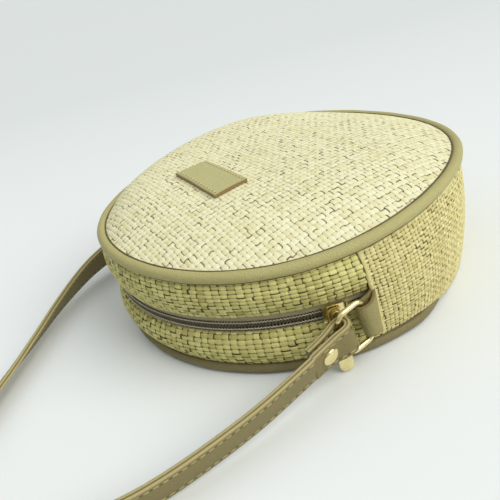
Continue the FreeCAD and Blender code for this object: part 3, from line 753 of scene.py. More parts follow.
def lining_band(degrees, share, lift):
    return polar(LINING_R + lift + 0 * degrees, degrees, share)


PINCHED = (0.91, 1.0, 0.91)
# line is the share of painted shade along each float's sides.
PANEL_WEAVE = {"rise": 0.17, "loose": 0.4, "line": 0.46, "pinch": (1.0, 1.0), "material": straw}
BASE_WEAVE = {"rise": 0.28, "loose": 0.35, "line": 0.52, "pinch": PINCHED, "material": shaded_side_straw}
ZIP_WEAVE = {"rise": 0.34, "loose": 0.4, "line": 0.5, "pinch": PINCHED, "material": shaded_zip_straw}
# SHADE is the dark sheet of painted shade under each weave; LINED is the lining cloth.
SHADE = (straw_shade, "straw")
LINED = (lining, "lining_cloth")
BACK_LINING_Z = 3.1
LINING_R = 88.2
PANEL_REACH = 96.0
SEAM_MARGIN = 0.3
PANEL_PITCH = (2.9, 2.25)
BASE_PITCH = (2.15, 1.55)
ZIP_PITCH = (3.5, 2.2)
MM_PER_TURN = 92.0 * math.pi / 180.0

panel_columns = spaced(-PANEL_REACH, PANEL_REACH, PANEL_PITCH[0])
panel_rows = spaced(-PANEL_REACH, PANEL_REACH, PANEL_PITCH[1])
base_columns = spaced(SEAM_RIGHT + SEAM_MARGIN, 360 + SEAM_LEFT - SEAM_MARGIN, BASE_PITCH[0] / MM_PER_TURN)
base_rows = spaced(-0.03, 1.03, BASE_PITCH[1] / (WALL_HIGH - WALL_LOW))
zip_columns = spaced(SEAM_LEFT + SEAM_MARGIN, SEAM_RIGHT - SEAM_MARGIN, ZIP_PITCH[0] / MM_PER_TURN)
back_rows = spaced(-0.06, 1.16, ZIP_PITCH[1] / 16.2)
front_rows = spaced(-0.13, 1.05, ZIP_PITCH[1] / 20.0)
base_turns = np.linspace(SEAM_RIGHT, 360 + SEAM_LEFT, 101)
zip_turns = np.linspace(SEAM_LEFT, SEAM_RIGHT, 81)

folding(weave("front_straw", front_surface, panel_columns, panel_rows, within_front, seed=3, scale=(1, 1),
              **PANEL_WEAVE), "front_panel", "flap_panel")
folding(disc_over("front_straw_underside", front_surface, lambda a: front_edge(a) + 1.0, -0.55, *SHADE),
        "front_panel", "flap_panel")
folding(disc_over("front_lining_cloth", front_surface, lambda a: front_edge(a) - 0.6, -1.8, *LINED),
        "front_lining", "flap_lining")

riding(weave("back_straw", back_surface, panel_columns, panel_rows, within_back, seed=5, scale=(1, 1),
             **PANEL_WEAVE), "bag", "back_panel")
riding(disc_over("back_straw_underside", back_surface, lambda a: back_edge(a) + 0.4, -0.45, *SHADE),
       "bag", "back_panel")
riding(disc_over("back_lining_cloth", inside_back, lambda a: back_edge(a) - 3.0, 0.0, *LINED),
       "bag", "back_lining")

riding(weave("base_straw", base_surface, base_columns, base_rows, everywhere, seed=7,
             scale=(MM_PER_TURN, 43.0), **BASE_WEAVE), "bag", "base_gusset")
riding(sheet_over("base_straw_underside", base_surface, base_turns, np.linspace(-0.02, 1.02, 15), -0.5,
                  *SHADE), "bag", "base_gusset")
riding(sheet_over("base_lining_cloth", base_surface, base_turns, np.linspace(0.0, 1.0, 13), -1.8, *LINED),
       "bag", "base_lining")

riding(weave("zip_straw_back", back_strip_surface, zip_columns, back_rows, everywhere, seed=11,
             scale=(MM_PER_TURN, 16.0), **ZIP_WEAVE), "bag", "zip_gusset_back")
riding(sheet_over("zip_straw_back_underside", back_strip_surface, zip_turns, np.linspace(-0.05, 1.15, 12),
                  -0.5, *SHADE), "bag", "zip_gusset_back")

folding(weave("zip_straw_front", front_strip_surface, zip_columns, front_rows, everywhere, seed=13,
              scale=(MM_PER_TURN, 20.0), **ZIP_WEAVE),
        "flap_gusset", "zip_gusset_right_end", "zip_gusset_left_end")
folding(sheet_over("zip_straw_front_underside", front_strip_surface, zip_turns,
                   np.linspace(-0.12, 1.04, 12), -0.5, *SHADE), "flap_gusset")

riding(sheet_over("zip_lining_back_cloth", lining_band, zip_turns, np.linspace(5.0, 19.5, 5), -2.7, *LINED),
       "bag", "zip_lining_back")
folding(sheet_over("zip_lining_front_cloth", lining_band, zip_turns, np.linspace(29.5, 48.7, 5), -0.2,
                   *LINED), "flap_zip_lining")


# Pipings: a leather tube on each rim.

def piping(name, out, rise, rim_z, material):
    """A tube that swells a little, round a rim that is pulled out and raised at each turn."""
    dice = np.random.default_rng(17)
    uneven = dice.random(len(piping_turns)) - 0.5
    swell = 1.0 + 0.02 * np.sin(np.radians(piping_turns * 23)) + 0.015 * uneven
    around = np.linspace(0, 2 * math.pi, PIPING_SIDES, endpoint=False)
    thick = PIPING * swell[:, None]
    radius = (RIM + out)[:, None] + thick * np.cos(around)[None, :]
    z = rim_z + rise[:, None] + thick * np.sin(around)[None, :]
    points = polar(radius, piping_turns[:, None] + 0 * radius, z)
    faces = grid_faces(len(piping_turns), PIPING_SIDES, True, True)
    return piece(name, points.reshape(-1, 3), faces, material)


PIPING_SIDES = 18
piping_turns = np.linspace(0, 360, 288, endpoint=False)
folding(piping("front_piping_leather", *rim_pull(piping_turns), FRONT_RIM_Z, leather),
        "front_piping", "front_piping_cord", "flap_piping", "flap_piping_cord")
# The back piping is in the leather's copy painted darker as shade.
riding(piping("back_piping_shaded_leather", back_pull(piping_turns), 0 * piping_turns, BACK_RIM_Z, shaded_piping_leather),
       "bag", "back_piping", "back_piping_cord")


# The zip in its valley: two tapes, two rows of teeth that mesh, their threads, stops and slider.

TOOTH_PITCH = 1.45
THREAD_PITCH = 0.66
SEWN_PITCH = 2.4
SEWN_HALF = 0.75


def tape_band(degrees, z, lift):
    return polar(TAPE_R + lift + 0 * degrees, degrees, z)


def tooth_row(name, sign, shift):
    """Teeth of one half, each a bar across the middle, from the half's own tape."""
    heap = Heap()
    pitch = math.degrees(TOOTH_PITCH / COIL_R)
    for k in range(int((COIL_TO - COIL_FROM) / pitch)):
        turn = COIL_FROM + pitch * (k + 0.5 + shift)
        out, along = outward_and_along(turn)
        a = polar(COIL_R + 0.25, turn, ZIP_Z + sign * 2.2) + along * 0.18
        b = polar(COIL_R + 0.25, turn, ZIP_Z - sign * 0.55) - along * 0.18
        heap.dash(a, b, along, out, width=0.82, height=1.0)
    return heap.made(name, coil_nylon, "zip_coil")


def thread_row(name, sign):
    """The zigzag thread that holds one row of teeth, and the stitches beside the straw."""
    heap = Heap()
    radius = COIL_R + 0.75
    pitch = math.degrees(THREAD_PITCH / radius)
    places = []
    for k in range(int((COIL_TO - COIL_FROM) / pitch)):
        zigzag = 1.5 + 0.3 * (-1) ** k
        places.append(polar(radius, COIL_FROM + pitch * k, ZIP_Z + sign * zigzag))
    for a, b in zip(places[:-1], places[1:]):
        out = unit(a * [1, 1, 0])
        heap.dash(a + (a - b) * 0.12, b + (b - a) * 0.12, (0, 0, 1), out, width=0.46, height=0.4)
    sewn = math.degrees(SEWN_PITCH / TAPE_R)
    half = math.degrees(SEWN_HALF / TAPE_R)
    for k in range(int((SEAM_RIGHT - SEAM_LEFT - 2) / sewn)):
        turn = SEAM_LEFT + 1 + sewn * (k + 0.5)
        a = polar(TAPE_R + 0.12, turn - half, ZIP_Z + sign * 3.45)
        b = polar(TAPE_R + 0.12, turn + half, ZIP_Z + sign * 3.55)
        heap.dash(a, b, (0, 0, 1), polar(1.0, turn, 0.0), width=0.4, height=0.34)
    return heap.made(name, zip_thread, "zip_tape")


# The back tape takes the cloth's copy painted darker as shade, the front tape its copy painted lighter.
riding(sheet_over("zip_tape_back", tape_band, zip_turns, np.linspace(14.6, 22.6, 6), 0.0,
                  shaded_tape_cloth, "zip_tape"), "bag", "back_zip_tape")
folding(sheet_over("zip_tape_front", tape_band, zip_turns, np.linspace(26.4, 34.4, 6), 0.5,
                   tape_cloth, "zip_tape"),
        "flap_zip_tape", "front_zip_tape_right", "front_zip_tape_left")
riding(tooth_row("zip_teeth_back", -1, 0.0), "bag", "back_zip_coil")
folding(tooth_row("zip_teeth_front", 1, 0.5), "flap_zip_coil", "front_zip_coil_right")
riding(thread_row("zip_threads_back", -1), "bag")
folding(thread_row("zip_threads_front", 1))

for node, finish, slot in (("zip_top_stop_back", gold, "gold_metal"),
                           ("zip_top_stop_front", gold, "gold_metal"),
                           ("zip_bottom_stop", gold, "gold_metal"),
                           ("back_stiffener", board, "board")):
    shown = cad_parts[node]
    shown.data.materials.clear()
    shown.data.materials.append(finish)


def rounded_copy(node, name, body, edge, material):
    """A construction piece again with its edges eased."""
    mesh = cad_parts[node].data.copy()
    mesh.materials.clear()
    mesh.materials.append(material)
    obj = bpy.data.objects.new(name, mesh)
    bpy.context.scene.collection.objects.link(obj)
    weld = obj.modifiers.new("weld", "WELD")
    weld.merge_threshold = 0.00002
    ease = obj.modifiers.new("ease", "BEVEL")
    ease.width = edge * 0.001
    ease.segments = 3
    ease.limit_method = "ANGLE"
    ease.angle_limit = math.radians(38)
    bpy.context.view_layer.update()
    made = bpy.data.meshes.new_from_object(obj.evaluated_get(bpy.context.evaluated_depsgraph_get()))
    obj.modifiers.clear()
    obj.data = made
    made.shade_smooth()
    riding(obj, body, node)
    return obj


PULLER_BEND_Z = 0.011
PULLER_BEND_RUN = 0.009
PULLER_BEND = Vector((0.0017, -0.0012, -0.0013))

rounded_copy("zip_slider", "zip_slider_metal", "zip_slider", 0.25, gold)
puller = rounded_copy("zip_puller", "zip_puller_metal", "zip_puller", 0.3, gold)
for vertex in puller.data.vertices:
    bend = min(max((PULLER_BEND_Z - vertex.co.z) / PULLER_BEND_RUN, 0.0), 1.1) ** 1.5
    vertex.co += PULLER_BEND * bend


# Strap: two plies of leather, sewn along both edges and standing on edge.

STITCH_PITCH = 3.6
STITCH_INSET = 1.9
STITCH_HALF = 1.15
HOLE_HALF = 0.6


def strap_section():
    """Points of the strap's cross-section going round it, with how pale each is: pale cut leather on the
    plies' edges, and a painted highlight on the face near the edges, where the hem rolls over.
    """
    t, w = STRAP_THICK / 2, STRAP_HALF
    face = [(-t, -w + 0.4, 0.08), (-t, -w + 1.3, 0.04), (-t + 0.16, -w + STITCH_INSET, 0),
            (-t, -w + 2.5, 0), (-t - 0.06, 0, 0), (-t, w - 2.5, 0),
            (-t + 0.16, w - STITCH_INSET, 0), (-t, w - 1.3, 0.1), (-t, w - 0.4, 0.2)]
    edge = [(-t + 0.3, w - 0.05, 0.75), (-0.45, w, 0.7), (-0.16, w - 0.1, 0.1), (0.0, w - 0.9, 0.0),
            (0.16, w - 0.1, 0.1), (0.45, w, 0.7), (t - 0.3, w - 0.05, 0.75)]
    half = face + edge
    return half + [(-n, -b, pale) for n, b, pale in half]


def leaned_up(points, lean):
    """The strap's upward direction at each point of a line, leaned over by an angle in degrees."""
    tangent = np.gradient(points, axis=0)
    side = unit(np.cross(tangent, [0, 0, 1.0]))
    up = unit(np.cross(side, tangent))
    a = np.radians(lean)[:, None]
    return up * np.cos(a) + side * np.sin(a)


def strap_frames(points, up):
    """Tangent and side directions at each point."""
    tangent = unit(np.gradient(points, axis=0))
    return tangent, unit(np.cross(tangent, up))


def strap_band(name, points, up):
    """The strap along a line of points, closed at both ends."""
    section = strap_section()
    side = strap_frames(points, up)[1]
    across = np.array([s[0] for s in section])[None, :, None]
    height = np.array([s[1] for s in section])[None, :, None]
    verts = np.asarray(points)[:, None, :] + side[:, None, :] * across + up[:, None, :] * height
    count = len(section)
    faces = grid_faces(len(points), count, close_columns=True)
    total = len(points) * count
    faces.append(tuple(range(total, total + count))[::-1])
    faces.append(tuple(range(total + count, total + 2 * count)))
    verts = np.concatenate([verts.reshape(-1, 3), verts[0], verts[-1]])
    obj = piece(name, verts, faces, strap_leather)
    mark(obj, "raw_edge_and_hem_highlight", np.tile([s[2] for s in section], len(points) + 2))
    return obj


def strap_stitches(name, points, up):
    """Stitches along both edges on both faces, and the needle holes between them as dark dashes of
    painted shade.
    """
    tangent, side = strap_frames(points, up)
    reach = run_length(points)
    threads, holes = Heap(), Heap()

    def at(table, s):
        return np.array([np.interp(s, reach, table[:, i]) for i in range(3)])

    for k in range(int((reach[-1] - 2.0) / STITCH_PITCH)):
        s = STITCH_PITCH * (k + 0.5)
        middle, way, out, rise = at(points, s), unit(at(tangent, s)), unit(at(side, s)), unit(at(up, s))
        for face in (-1, 1):
            for edge in (-1, 1):
                p = middle + out * (face * (STRAP_THICK / 2 - 0.05))
                p = p + rise * (edge * (STRAP_HALF - STITCH_INSET))
                threads.dash(p - way * STITCH_HALF, p + way * STITCH_HALF, rise, out, width=0.5, height=0.4)
                q = p + way * STITCH_PITCH / 2
                holes.dash(q - way * HOLE_HALF, q + way * HOLE_HALF, rise, out, width=0.8, height=0.16)
    return (threads.made(name, strap_thread, "tan_leather"),
            holes.made(name + "_holes", seam_painted_shade, "tan_leather"))


def smooth_line(control):
    """Points of the smooth line that a route's control points draw, in millimetres."""
    curve = bpy.data.curves.new("strap_route", "CURVE")
    curve.dimensions = "3D"
    curve.resolution_u = 7
    spline = curve.splines.new("NURBS")
    spline.points.add(len(control) - 1)
    for point, place in zip(spline.points, control):
        point.co = (place[0], place[1], place[2], 1.0)
    spline.order_u = 3
    spline.use_endpoint_u = True
    holder = bpy.data.objects.new("strap_route", curve)
    bpy.context.scene.collection.objects.link(holder)
    line = bpy.data.meshes.new_from_object(holder)
    points = np.array([v.co[:] for v in line.vertices]) * 1000.0
    bpy.data.objects.remove(holder)
    bpy.data.curves.remove(curve)
    bpy.data.meshes.remove(line)
    return points


# The strap's wound middle, in metres as the routes are.
WOUND_X = 0.00998
WOUND_Y = -0.23417
WOUND_Z = 0.00765
WOUND_TURN = -20.0
WOUND_REACH = 0.04075
WOUND_ROOM = 0.0075
WOUND_CORE = 0.00725


def wound_turn(shift, radius, start, sweep, count):
    """Control points of part of a turn of the wound strap, clockwise from a starting angle."""
    step = sweep / count
    reach = radius / math.cos(math.radians(step / 2))
    tilt = math.radians(WOUND_TURN)
    middle = (WOUND_X + shift * math.cos(tilt), WOUND_Y + shift * math.sin(tilt))
    angles = [math.radians(WOUND_TURN + start - step * (k + 0.5)) for k in range(count)]
    return [(middle[0] + reach * math.cos(a), middle[1] + reach * math.sin(a), WOUND_Z) for a in angles]


def wound_inward(radius, turns):
    """Half turns that go inward by a strap's room each, then the half turn at the core."""
    points = []
    for k in range(turns + 1):
        core = k == turns
        shift = WOUND_CORE if core else WOUND_ROOM / 2
        reach = WOUND_CORE if core else radius - WOUND_ROOM * k
        points += wound_turn(shift * (-1) ** k, reach, 180 * (k % 2), 180, 6)
    return points + [(WOUND_X, WOUND_Y, WOUND_Z)]


right_route = [(0.0969, -0.0548, 0.0164), (0.0976, -0.0626, 0.0150), (0.0996, -0.0875, 0.0112),
               (0.0990, -0.1295, 0.00745), (0.0925, -0.1554, 0.00765), (0.0556, -0.2390, 0.00765)]
right_route += wound_inward(WOUND_REACH, 4)
left_route = [(-0.0877, -0.0546, 0.0165), (-0.0850, -0.0640, 0.0148), (-0.0828, -0.0870, 0.0112),
              (-0.0640, -0.1140, 0.0075), (-0.0330, -0.1410, 0.0063), (0.0369, -0.2019, 0.0070)]
left_route += wound_turn(-WOUND_ROOM / 2, WOUND_REACH, 65.7, 65.7, 3)
left_route += wound_inward(WOUND_REACH - WOUND_ROOM, 3)

right_line = smooth_line(right_route)
right_lean = -19.0 * (1 - ease_between(run_length(right_line), 110, 190))
left_line = smooth_line(left_route)
left_lean = -np.interp(run_length(left_line), [0, 6, 26, 48, 68, 92, 128, 150, 205],
                       [0, 6, 22, 28, 35, 41, 52, 52, 0])

for side_name, line, lean, length in (("right", right_line, right_lean, 0.597),
                                      ("left", left_line, left_lean, 0.508)):
    up = leaned_up(line, lean)
    band = strap_band("strap_" + side_name + "_half", line, up)
    seams, holes = strap_stitches("strap_" + side_name + "_stitches", line, up)
    for soft in (band, seams, holes):
        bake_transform(soft)
    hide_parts("strap_face", "strap_backing")


# Rings, their leather tabs, and the strap's ends folded round them and riveted.

RIVET_AT = -5
RIVET_DEPTH = 4.5


class RingSide:
    """Directions at one ring, as the construction has them: along the strap, outward, and up the bars."""

    def __init__(self, sign, swing):
        turn = -TAB_TURN if sign > 0 else -180.0 + TAB_TURN
        self.radial = polar(1.0, turn, 0.0)
        level = np.array([self.radial[1] * sign, -self.radial[0] * sign, 0.0])
        upright = np.array([0, 0, 1.0])
        pitch, s = math.radians(RING_PITCH), math.radians(swing)
        self.up = upright * math.cos(pitch) + level * math.sin(pitch)
        self.wall = level * math.cos(pitch) - upright * math.sin(pitch)
        self.along = self.wall * math.cos(s) + self.radial * math.sin(s)
        self.out = self.radial * math.cos(s) - self.wall * math.sin(s)
        self.bar = polar(RING_BAR, turn, RING_Z)
        self.strap_bar = self.bar + self.along * RING_LENGTH


def ring_tube(name, side):
    """Round wire bent to an oblong with rounded corners."""
    h, c, n = RING_HALF, RING_CORNER, RING_LENGTH
    flat = []
    for cu, cz, start in ((n - c, h - c, 90), (n - c, c - h, 0), (c, c - h, -90), (c, h - c, -180)):
        for a in np.radians(start - np.linspace(0, 90, 9)):
            flat.append((cu + c * math.cos(a), cz + c * math.sin(a)))
    path = np.array([side.bar + side.along * u + side.up * z for u, z in flat])
    tangent = unit(np.roll(path, -1, 0) - np.roll(path, 1, 0))
    inward = np.cross(tangent, side.out)
    around = np.linspace(0, 2 * math.pi, 16, endpoint=False)
    wire = np.cos(around)[None, :, None] * side.out + np.sin(around)[None, :, None] * inward[:, None, :]
    verts = path[:, None, :] + WIRE * wire
    return piece(name, verts.reshape(-1, 3), grid_faces(len(path), 16, True, True), gold)


def ring_tab(name, side):
    """A leather strip folded round the ring's bar; both ends go into the seam, where it is wider."""
    arc = [(-2.6 * math.cos(a), 2.6 * math.sin(a)) for a in np.radians(np.linspace(-90, 90, 17))]
    under = [(7.2, -7.0), (6.4, -5.6), (5.0, -4.2), (2.6, -3.1)]
    over = [(2.0, 2.2), (3.9, 0.8), (5.7, -1.3), (7.0, -3.7), (7.9, -6.2), (8.2, -7.6)]
    flat = np.array(under + arc + over)
    tangent = unit(np.gradient(flat, axis=0))
    normal = np.stack([-tangent[:, 1], tangent[:, 0]], -1)
    across = np.concatenate([[-1.0, -0.97], np.linspace(-0.9, 0.9, 9), [0.97, 1.0]])
    verts, raw = [], []
    for p, n in zip(flat, normal):
        spread = np.clip((p[0] - 2.6) / 5.4, 0, 1)
        low, high = -TAB_HALF - 5.8 * spread, TAB_HALF - 0.5 * spread
        for face, row in ((0.8, across), (-0.8, across[::-1])):
            for w in row:
                edge = abs(w) > 0.95
                q = p + n * face * (0.7 if abs(w) == 1.0 else 1.0)
                z = (low + high) / 2 + w * (high - low) / 2
                short = 1.6 * (1 - w) * spread
                verts.append(side.bar - side.wall * (q[0] - short) + side.radial * q[1] + side.up * z)
                raw.append(0.5 if edge else 0.0)
    count = 2 * len(across)
    faces = grid_faces(len(flat), count, close_columns=True)
    faces.append(tuple(range(count)))
    faces.append(tuple(range((len(flat) - 1) * count, len(flat) * count))[::-1])
    obj = piece(name, verts, faces, tab_leather)
    mark(obj, "raw_edge_and_hem_highlight", raw)
    return obj


def strap_fold(side, lean):
    """The strap end's line and upward directions: the tail, round the ring's bar, and on as the strap.

    The strap hangs a little outward from the ring and leans over by an angle along its length."""
    turn, dip = math.radians(4.9 if lean else 0.0), math.radians(1.2 if lean else 0.0)
    along = side.along * math.cos(turn) + side.out * math.sin(turn)
    out = side.out * math.cos(turn) - side.along * math.sin(turn)
    way = along * math.cos(dip) - side.up * math.sin(dip)
    rise = side.up * math.cos(dip) + along * math.sin(dip)
    radius = WIRE + 0.6 + STRAP_THICK / 2
    tail = [(16.5, -1.75), (14.0, -1.75), (11.0, -1.75), (8.0, -1.85), (5.0, -2.15), (2.0, -2.65)]
    turned = [(radius * math.cos(a), radius * max(math.sin(a), 0.9 * math.sin(a)))
              for a in np.radians(np.linspace(-98, -262, 21))]
    face = [(2.0, 2.85), (4.0, 2.3), (6.0, 1.75), (8.0, 1.35), (10.0, 1.1), (12.0, 0.97), (14.0, 0.9),
            (16.0, 0.87), (18.0, 0.87)]
    places = tail + turned + face
    points = np.array([side.strap_bar + way * u + out * w for u, w in places])
    share = np.interp([u for u, w in places], [-3, 3, 9, 18], [0.25, 0.45, 0.9, 1.0])
    share[:len(tail)] *= 0.3
    share[len(tail):len(tail) + len(turned)] *= np.linspace(0.3, 1.0, len(turned))
    angle = np.radians(lean * share)[:, None]
    return points, rise * np.cos(angle) + out * np.sin(angle), way


def rivet_dome(name, middle, way, axis, radius, height):
    """A rivet's round head on the strap."""
    across = np.cross(axis, way)
    rings = [(radius, -0.4), (radius, 0.25)]
    for a in np.radians([12, 25, 40, 55, 70, 82]):
        rings.append((radius * math.cos(a), 0.25 + (height - 0.25) * math.sin(a)))
    verts = []
    for r, z in rings:
        for a in np.linspace(0, 2 * math.pi, 32, endpoint=False):
            verts.append(middle + way * (r * math.cos(a)) + across * (r * math.sin(a)) + axis * z)
    faces = grid_faces(len(rings), 32, close_columns=True)
    faces.append(tuple(range((len(rings) - 1) * 32, len(rings) * 32)))
    return piece(name, verts, faces, gold)


for name, side, lean, sign in (("right", RingSide(1, 14.75), 19.0, 1),
                               ("left", RingSide(-1, -2.0), 0.0, -1)):
    body = name + "_ring"
    riding(ring_tab(name + "_tab_leather", side), "bag", name + "_ring_tab")
    riding(ring_tube(name + "_ring_metal", side), body, name + "_ring")
    fold, fold_up, way = strap_fold(side, lean)
    riding(strap_band(name + "_strap_fold", fold, fold_up), body, name + "_strap_end")
    for sewing in strap_stitches(name + "_strap_fold_stitches", fold, fold_up):
        riding(sewing, body)
    riveted = fold[RIVET_AT]
    face = np.cross(fold_up[RIVET_AT], way) * sign
    head = rivet_dome(name + "_rivet_head", riveted + face * (STRAP_THICK / 2), way, face,
                      radius=3.9, height=1.5)
    foot = rivet_dome(name + "_rivet_foot", riveted - face * RIVET_DEPTH, way, -face, radius=3.3, height=0.9)
    riding(head, body, name + "_rivet_cap")
    riding(foot, body, name + "_rivet_back")


# Label: a bare leather patch on the front, sewn along its two long sides.

LABEL_TOP = 2.15
LABEL_FOOT = 0.1
LABEL_SEWN = 1.6
LABEL_STITCHES = 14
LABEL_PITCH = 2.75
LABEL_FIRST = -18.9


def label_lines(half, count):
    """Grid lines across the patch, closer together at its rounded edges."""
    border = np.array([0.0, 0.1, 0.4, 0.9])
    return np.concatenate([border - half, np.linspace(1.5 - half, half - 1.5, count), half - border[::-1]])


def label():
    """The patch, its stitches and the needle holes between them, as dark dashes of painted shade."""
    length, height = LABEL_HALF
    x, y = np.meshgrid(label_lines(length, 29), label_lines(height, 13), indexing="ij")
    inset = np.minimum(length - np.abs(x), height - np.abs(y))
    dip = np.clip(1 - inset / 0.9, 0, 1)
    groove = np.exp(-((np.abs(y) - height + LABEL_SEWN) / 0.5) ** 2) * 0.12
    top = LABEL_TOP - 0.45 * (1 - np.sqrt(1 - dip ** 2)) - groove
    upper = front_surface(x, y + LABEL_Y, top).reshape(-1, 3)
    rows, columns = x.shape
    rim = [(0, j) for j in range(columns)] + [(i, columns - 1) for i in range(1, rows)]
    rim += [(rows - 1, j) for j in range(columns - 2, -1, -1)] + [(i, 0) for i in range(rows - 2, 0, -1)]
    outline = [i * columns + j for i, j in rim]
    foot = front_surface(x.ravel()[outline], y.ravel()[outline] + LABEL_Y, LABEL_FOOT)
    verts = np.concatenate([upper, upper[outline], foot])
    count, first = len(outline), len(upper)
    faces = [f[::-1] for f in grid_faces(rows, columns)]
    for k in range(count):
        a, b = k, (k + 1) % count
        faces.append((first + a, first + b, first + count + b, first + count + a))
    obj = piece("label_leather", verts, faces, label_leather)
    worn = np.clip(dip * 1.2 - 0.55, 0, 0.5).ravel()
    mark(obj, "raw_edge_and_hem_highlight", np.concatenate([worn, np.full(count * 2, 0.75)]))
    threads, holes = Heap(), Heap()
    for row in (LABEL_Y + LABEL_SEWN - height, LABEL_Y + height - LABEL_SEWN):
        for k in range(LABEL_STITCHES):
            x0 = LABEL_FIRST + LABEL_PITCH * k
            a, b, c, d = front_surface([x0, x0 + 2.0, x0 + 2.12, x0 + 2.62], row, 2.1)
            threads.dash(a, b, (0, 1, 0), (0, 0, 1), width=0.75, height=0.6)
            holes.dash(c, d, (0, 1, 0), (0, 0, 1), width=0.9, height=0.2)
    return (obj, threads.made("label_stitches", pale_thread, "tan_leather"),
            holes.made("label_needle_holes", seam_painted_shade, "tan_leather"))


label_pieces = label()
for made in label_pieces:
    folding(made)
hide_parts("label_patch")


# Seams: a turned edge with a row of needle holes, dark dashes of painted shade, at each side, and a dark
# tube of painted shade in the crease beside each piping.

def seam_fold(name, turn, sign):
    """The base's turned edge, a narrow straw ridge that leans with the seam."""
    share = np.linspace(-0.02, 1.02, 40)
    middle = base_surface(turn + 0 * share, share, 0 * share)
    out, along = outward_and_along(turn)
    width = np.array([-1.0, -0.85, -0.3, 0.4, 0.9, 1.3])
    height = np.array([-0.8, 0.15, 0.55, 0.55, 0.3, 0.0])
    verts = middle[:, None, :] + sign * width[None, :, None] * along + height[None, :, None] * out
    faces = grid_faces(40, 6)
    if sign > 0:
        faces = [f[::-1] for f in faces]
    obj = piece(name, verts.reshape(-1, 3), faces, shaded_side_straw)
    dice = np.random.default_rng(23)
    mark(obj, "strip_tone", np.repeat(0.35 + 0.5 * dice.random(40), 6))
    # Painted shade along both sides of the fold, darkest on the side that dips in.
    mark(obj, "strip_painted_shade", np.tile([0.95, 0.5, 0.0, 0.0, 0.35, 0.75], 40))
    lay_uv(obj, "strip_map", np.stack(np.meshgrid(share * 43.0, width, indexing="ij"), -1).reshape(-1, 2))
    return obj


# Needle holes as dark dashes of painted shade.
def seam_holes(name, turn):
    heap = Heap()
    out, along = outward_and_along(turn)
    for share in np.linspace(0.05, 0.95, 20):
        p = base_surface(np.array(turn), np.array(share), np.array(0.34))
        heap.dash(p - along * 0.32, p + along * 0.32, (0, 0, 1), out, width=0.7, height=0.3)
    return heap.made(name, seam_painted_shade, "straw")


def crease(name, points):
    """A thin dark tube of painted shade that closes on itself, where a panel or wall goes in beside the
    piping.
    """
    out = unit(points * [1, 1, 0])
    around = np.radians([0, 72, 144, 216, 288])
    verts = points[:, None, :] + 0.42 * (np.cos(around)[None, :, None] * out[:, None, :]
                                         + np.sin(around)[None, :, None] * np.array([0, 0, 1.0]))
    return piece(name, verts.reshape(-1, 3), grid_faces(len(points), 5, True, True), seam_painted_shade)


riding(seam_fold("right_seam_edge", SEAM_RIGHT + SEAM_MARGIN, 1), "bag")
riding(seam_fold("left_seam_edge", 360 + SEAM_LEFT - SEAM_MARGIN, -1), "bag")
riding(seam_holes("right_seam_holes", SEAM_RIGHT + 1.5), "bag")
riding(seam_holes("left_seam_holes", 360 + SEAM_LEFT - 1.5), "bag")
rim_turns = np.linspace(0, 360, 240, endpoint=False)
rim_out, rim_rise = rim_pull(rim_turns)
panel_line = polar(PANEL_EDGE + rim_out + 0.45, rim_turns, PANEL_EDGE_Z + rim_rise + 0.1)
wall_line = polar(WALL_RIM + rim_out + 0.6, rim_turns, WALL_HIGH + rim_rise + 0.35)
low_line = polar(WALL_RIM + 0.6 + back_pull(rim_turns), rim_turns, WALL_LOW - 0.3)
folding(crease("front_panel_crease", panel_line))
folding(crease("front_wall_crease", wall_line))
riding(crease("back_wall_crease", low_line), "bag")


# Table, light and camera.

TABLE_HALF = 60000.0
TABLE_Z = -0.2
SUN_FROM = (0.62, 0.42, 0.66)
CAMERA_PLACE = (0.25226, -0.13977, 0.16533)
CAMERA_AIM = (0.019852, -0.032379, 0.03)
CAMERA_ROLL = -14.6025


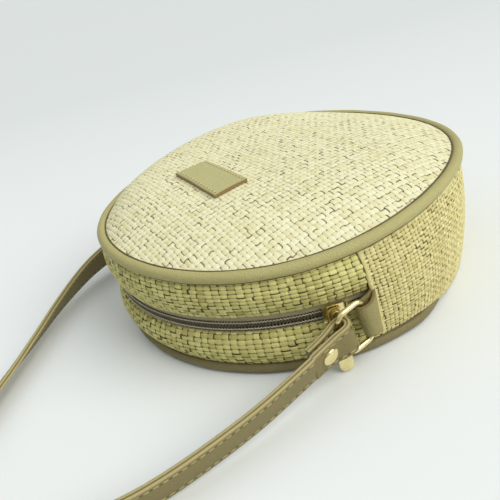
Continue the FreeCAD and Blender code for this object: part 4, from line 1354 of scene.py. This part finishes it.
def table_material():
    """A pale table top, painted a little darker away from the camera as shade."""
    material, tree, surface = start_material("white_table")
    place = add_node(tree, "ShaderNodeTexCoord").outputs["Object"]
    away = add_node(tree, "ShaderNodeVectorMath", {0: place, 1: [-0.9, 0.43, 0.0]}, operation="DOT_PRODUCT")
    far = remap(tree, away.outputs["Value"], 0.05, 0.6, 0.0, 1.0)
    colour = mix_colours(tree, far, (0.81, 0.835, 0.83), (0.70, 0.73, 0.72))
    cloud = use_group(tree, blotch_group, Size=3.0)
    colour = tint(tree, colour, (0.7, 0.74, 0.73), cloud["Cloud"], 0.05)
    dress(tree, surface, colour, 0.6)
    return material


table_corners = [(x * TABLE_HALF, y * TABLE_HALF, TABLE_Z) for x, y in ((-1, -1), (1, -1), (1, 1), (-1, 1))]
table = piece("table_top", table_corners, [(0, 1, 2, 3)], table_material())

world = bpy.data.worlds.new("soft_room")
world.use_nodes = True
bpy.context.scene.world = world
room = world.node_tree
facing = add_node(room, "ShaderNodeTexCoord").outputs["Generated"]
upward = add_node(room, "ShaderNodeSeparateXYZ", {0: facing}).outputs["Z"]
height = remap(room, upward, 0.0, 1.0, 0.0, 1.0)
glow = mix_colours(room, height, (0.15, 0.155, 0.16), (0.88, 0.91, 0.92))
feed(room, room.nodes["Background"].inputs["Color"], glow)
room.nodes["Background"].inputs["Strength"].default_value = 1.0

window_data = bpy.data.lights.new("window", "SUN")
window_data.energy = 2.1
window_data.angle = math.radians(50)
window_data.color = (1.0, 0.99, 0.95)
window = bpy.data.objects.new("window", window_data)
window.rotation_euler = Vector(SUN_FROM).to_track_quat("Z", "Y").to_euler()
bpy.context.scene.collection.objects.link(window)

camera_data = bpy.data.cameras.new("photo_camera")
camera_data.lens = 43.2
camera_data.sensor_width = 36.0
camera_data.clip_start = 0.01
camera = bpy.data.objects.new("photo_camera", camera_data)
view = (Vector(CAMERA_AIM) - Vector(CAMERA_PLACE)).to_track_quat("-Z", "Y").to_matrix().to_4x4()
roll = Matrix.Rotation(math.radians(CAMERA_ROLL), 4, "Z")
camera.matrix_world = Matrix.Translation(CAMERA_PLACE) @ view @ roll
bpy.context.scene.collection.objects.link(camera)
bpy.context.scene.camera = camera
bpy.context.scene.view_settings.view_transform = "Standard"
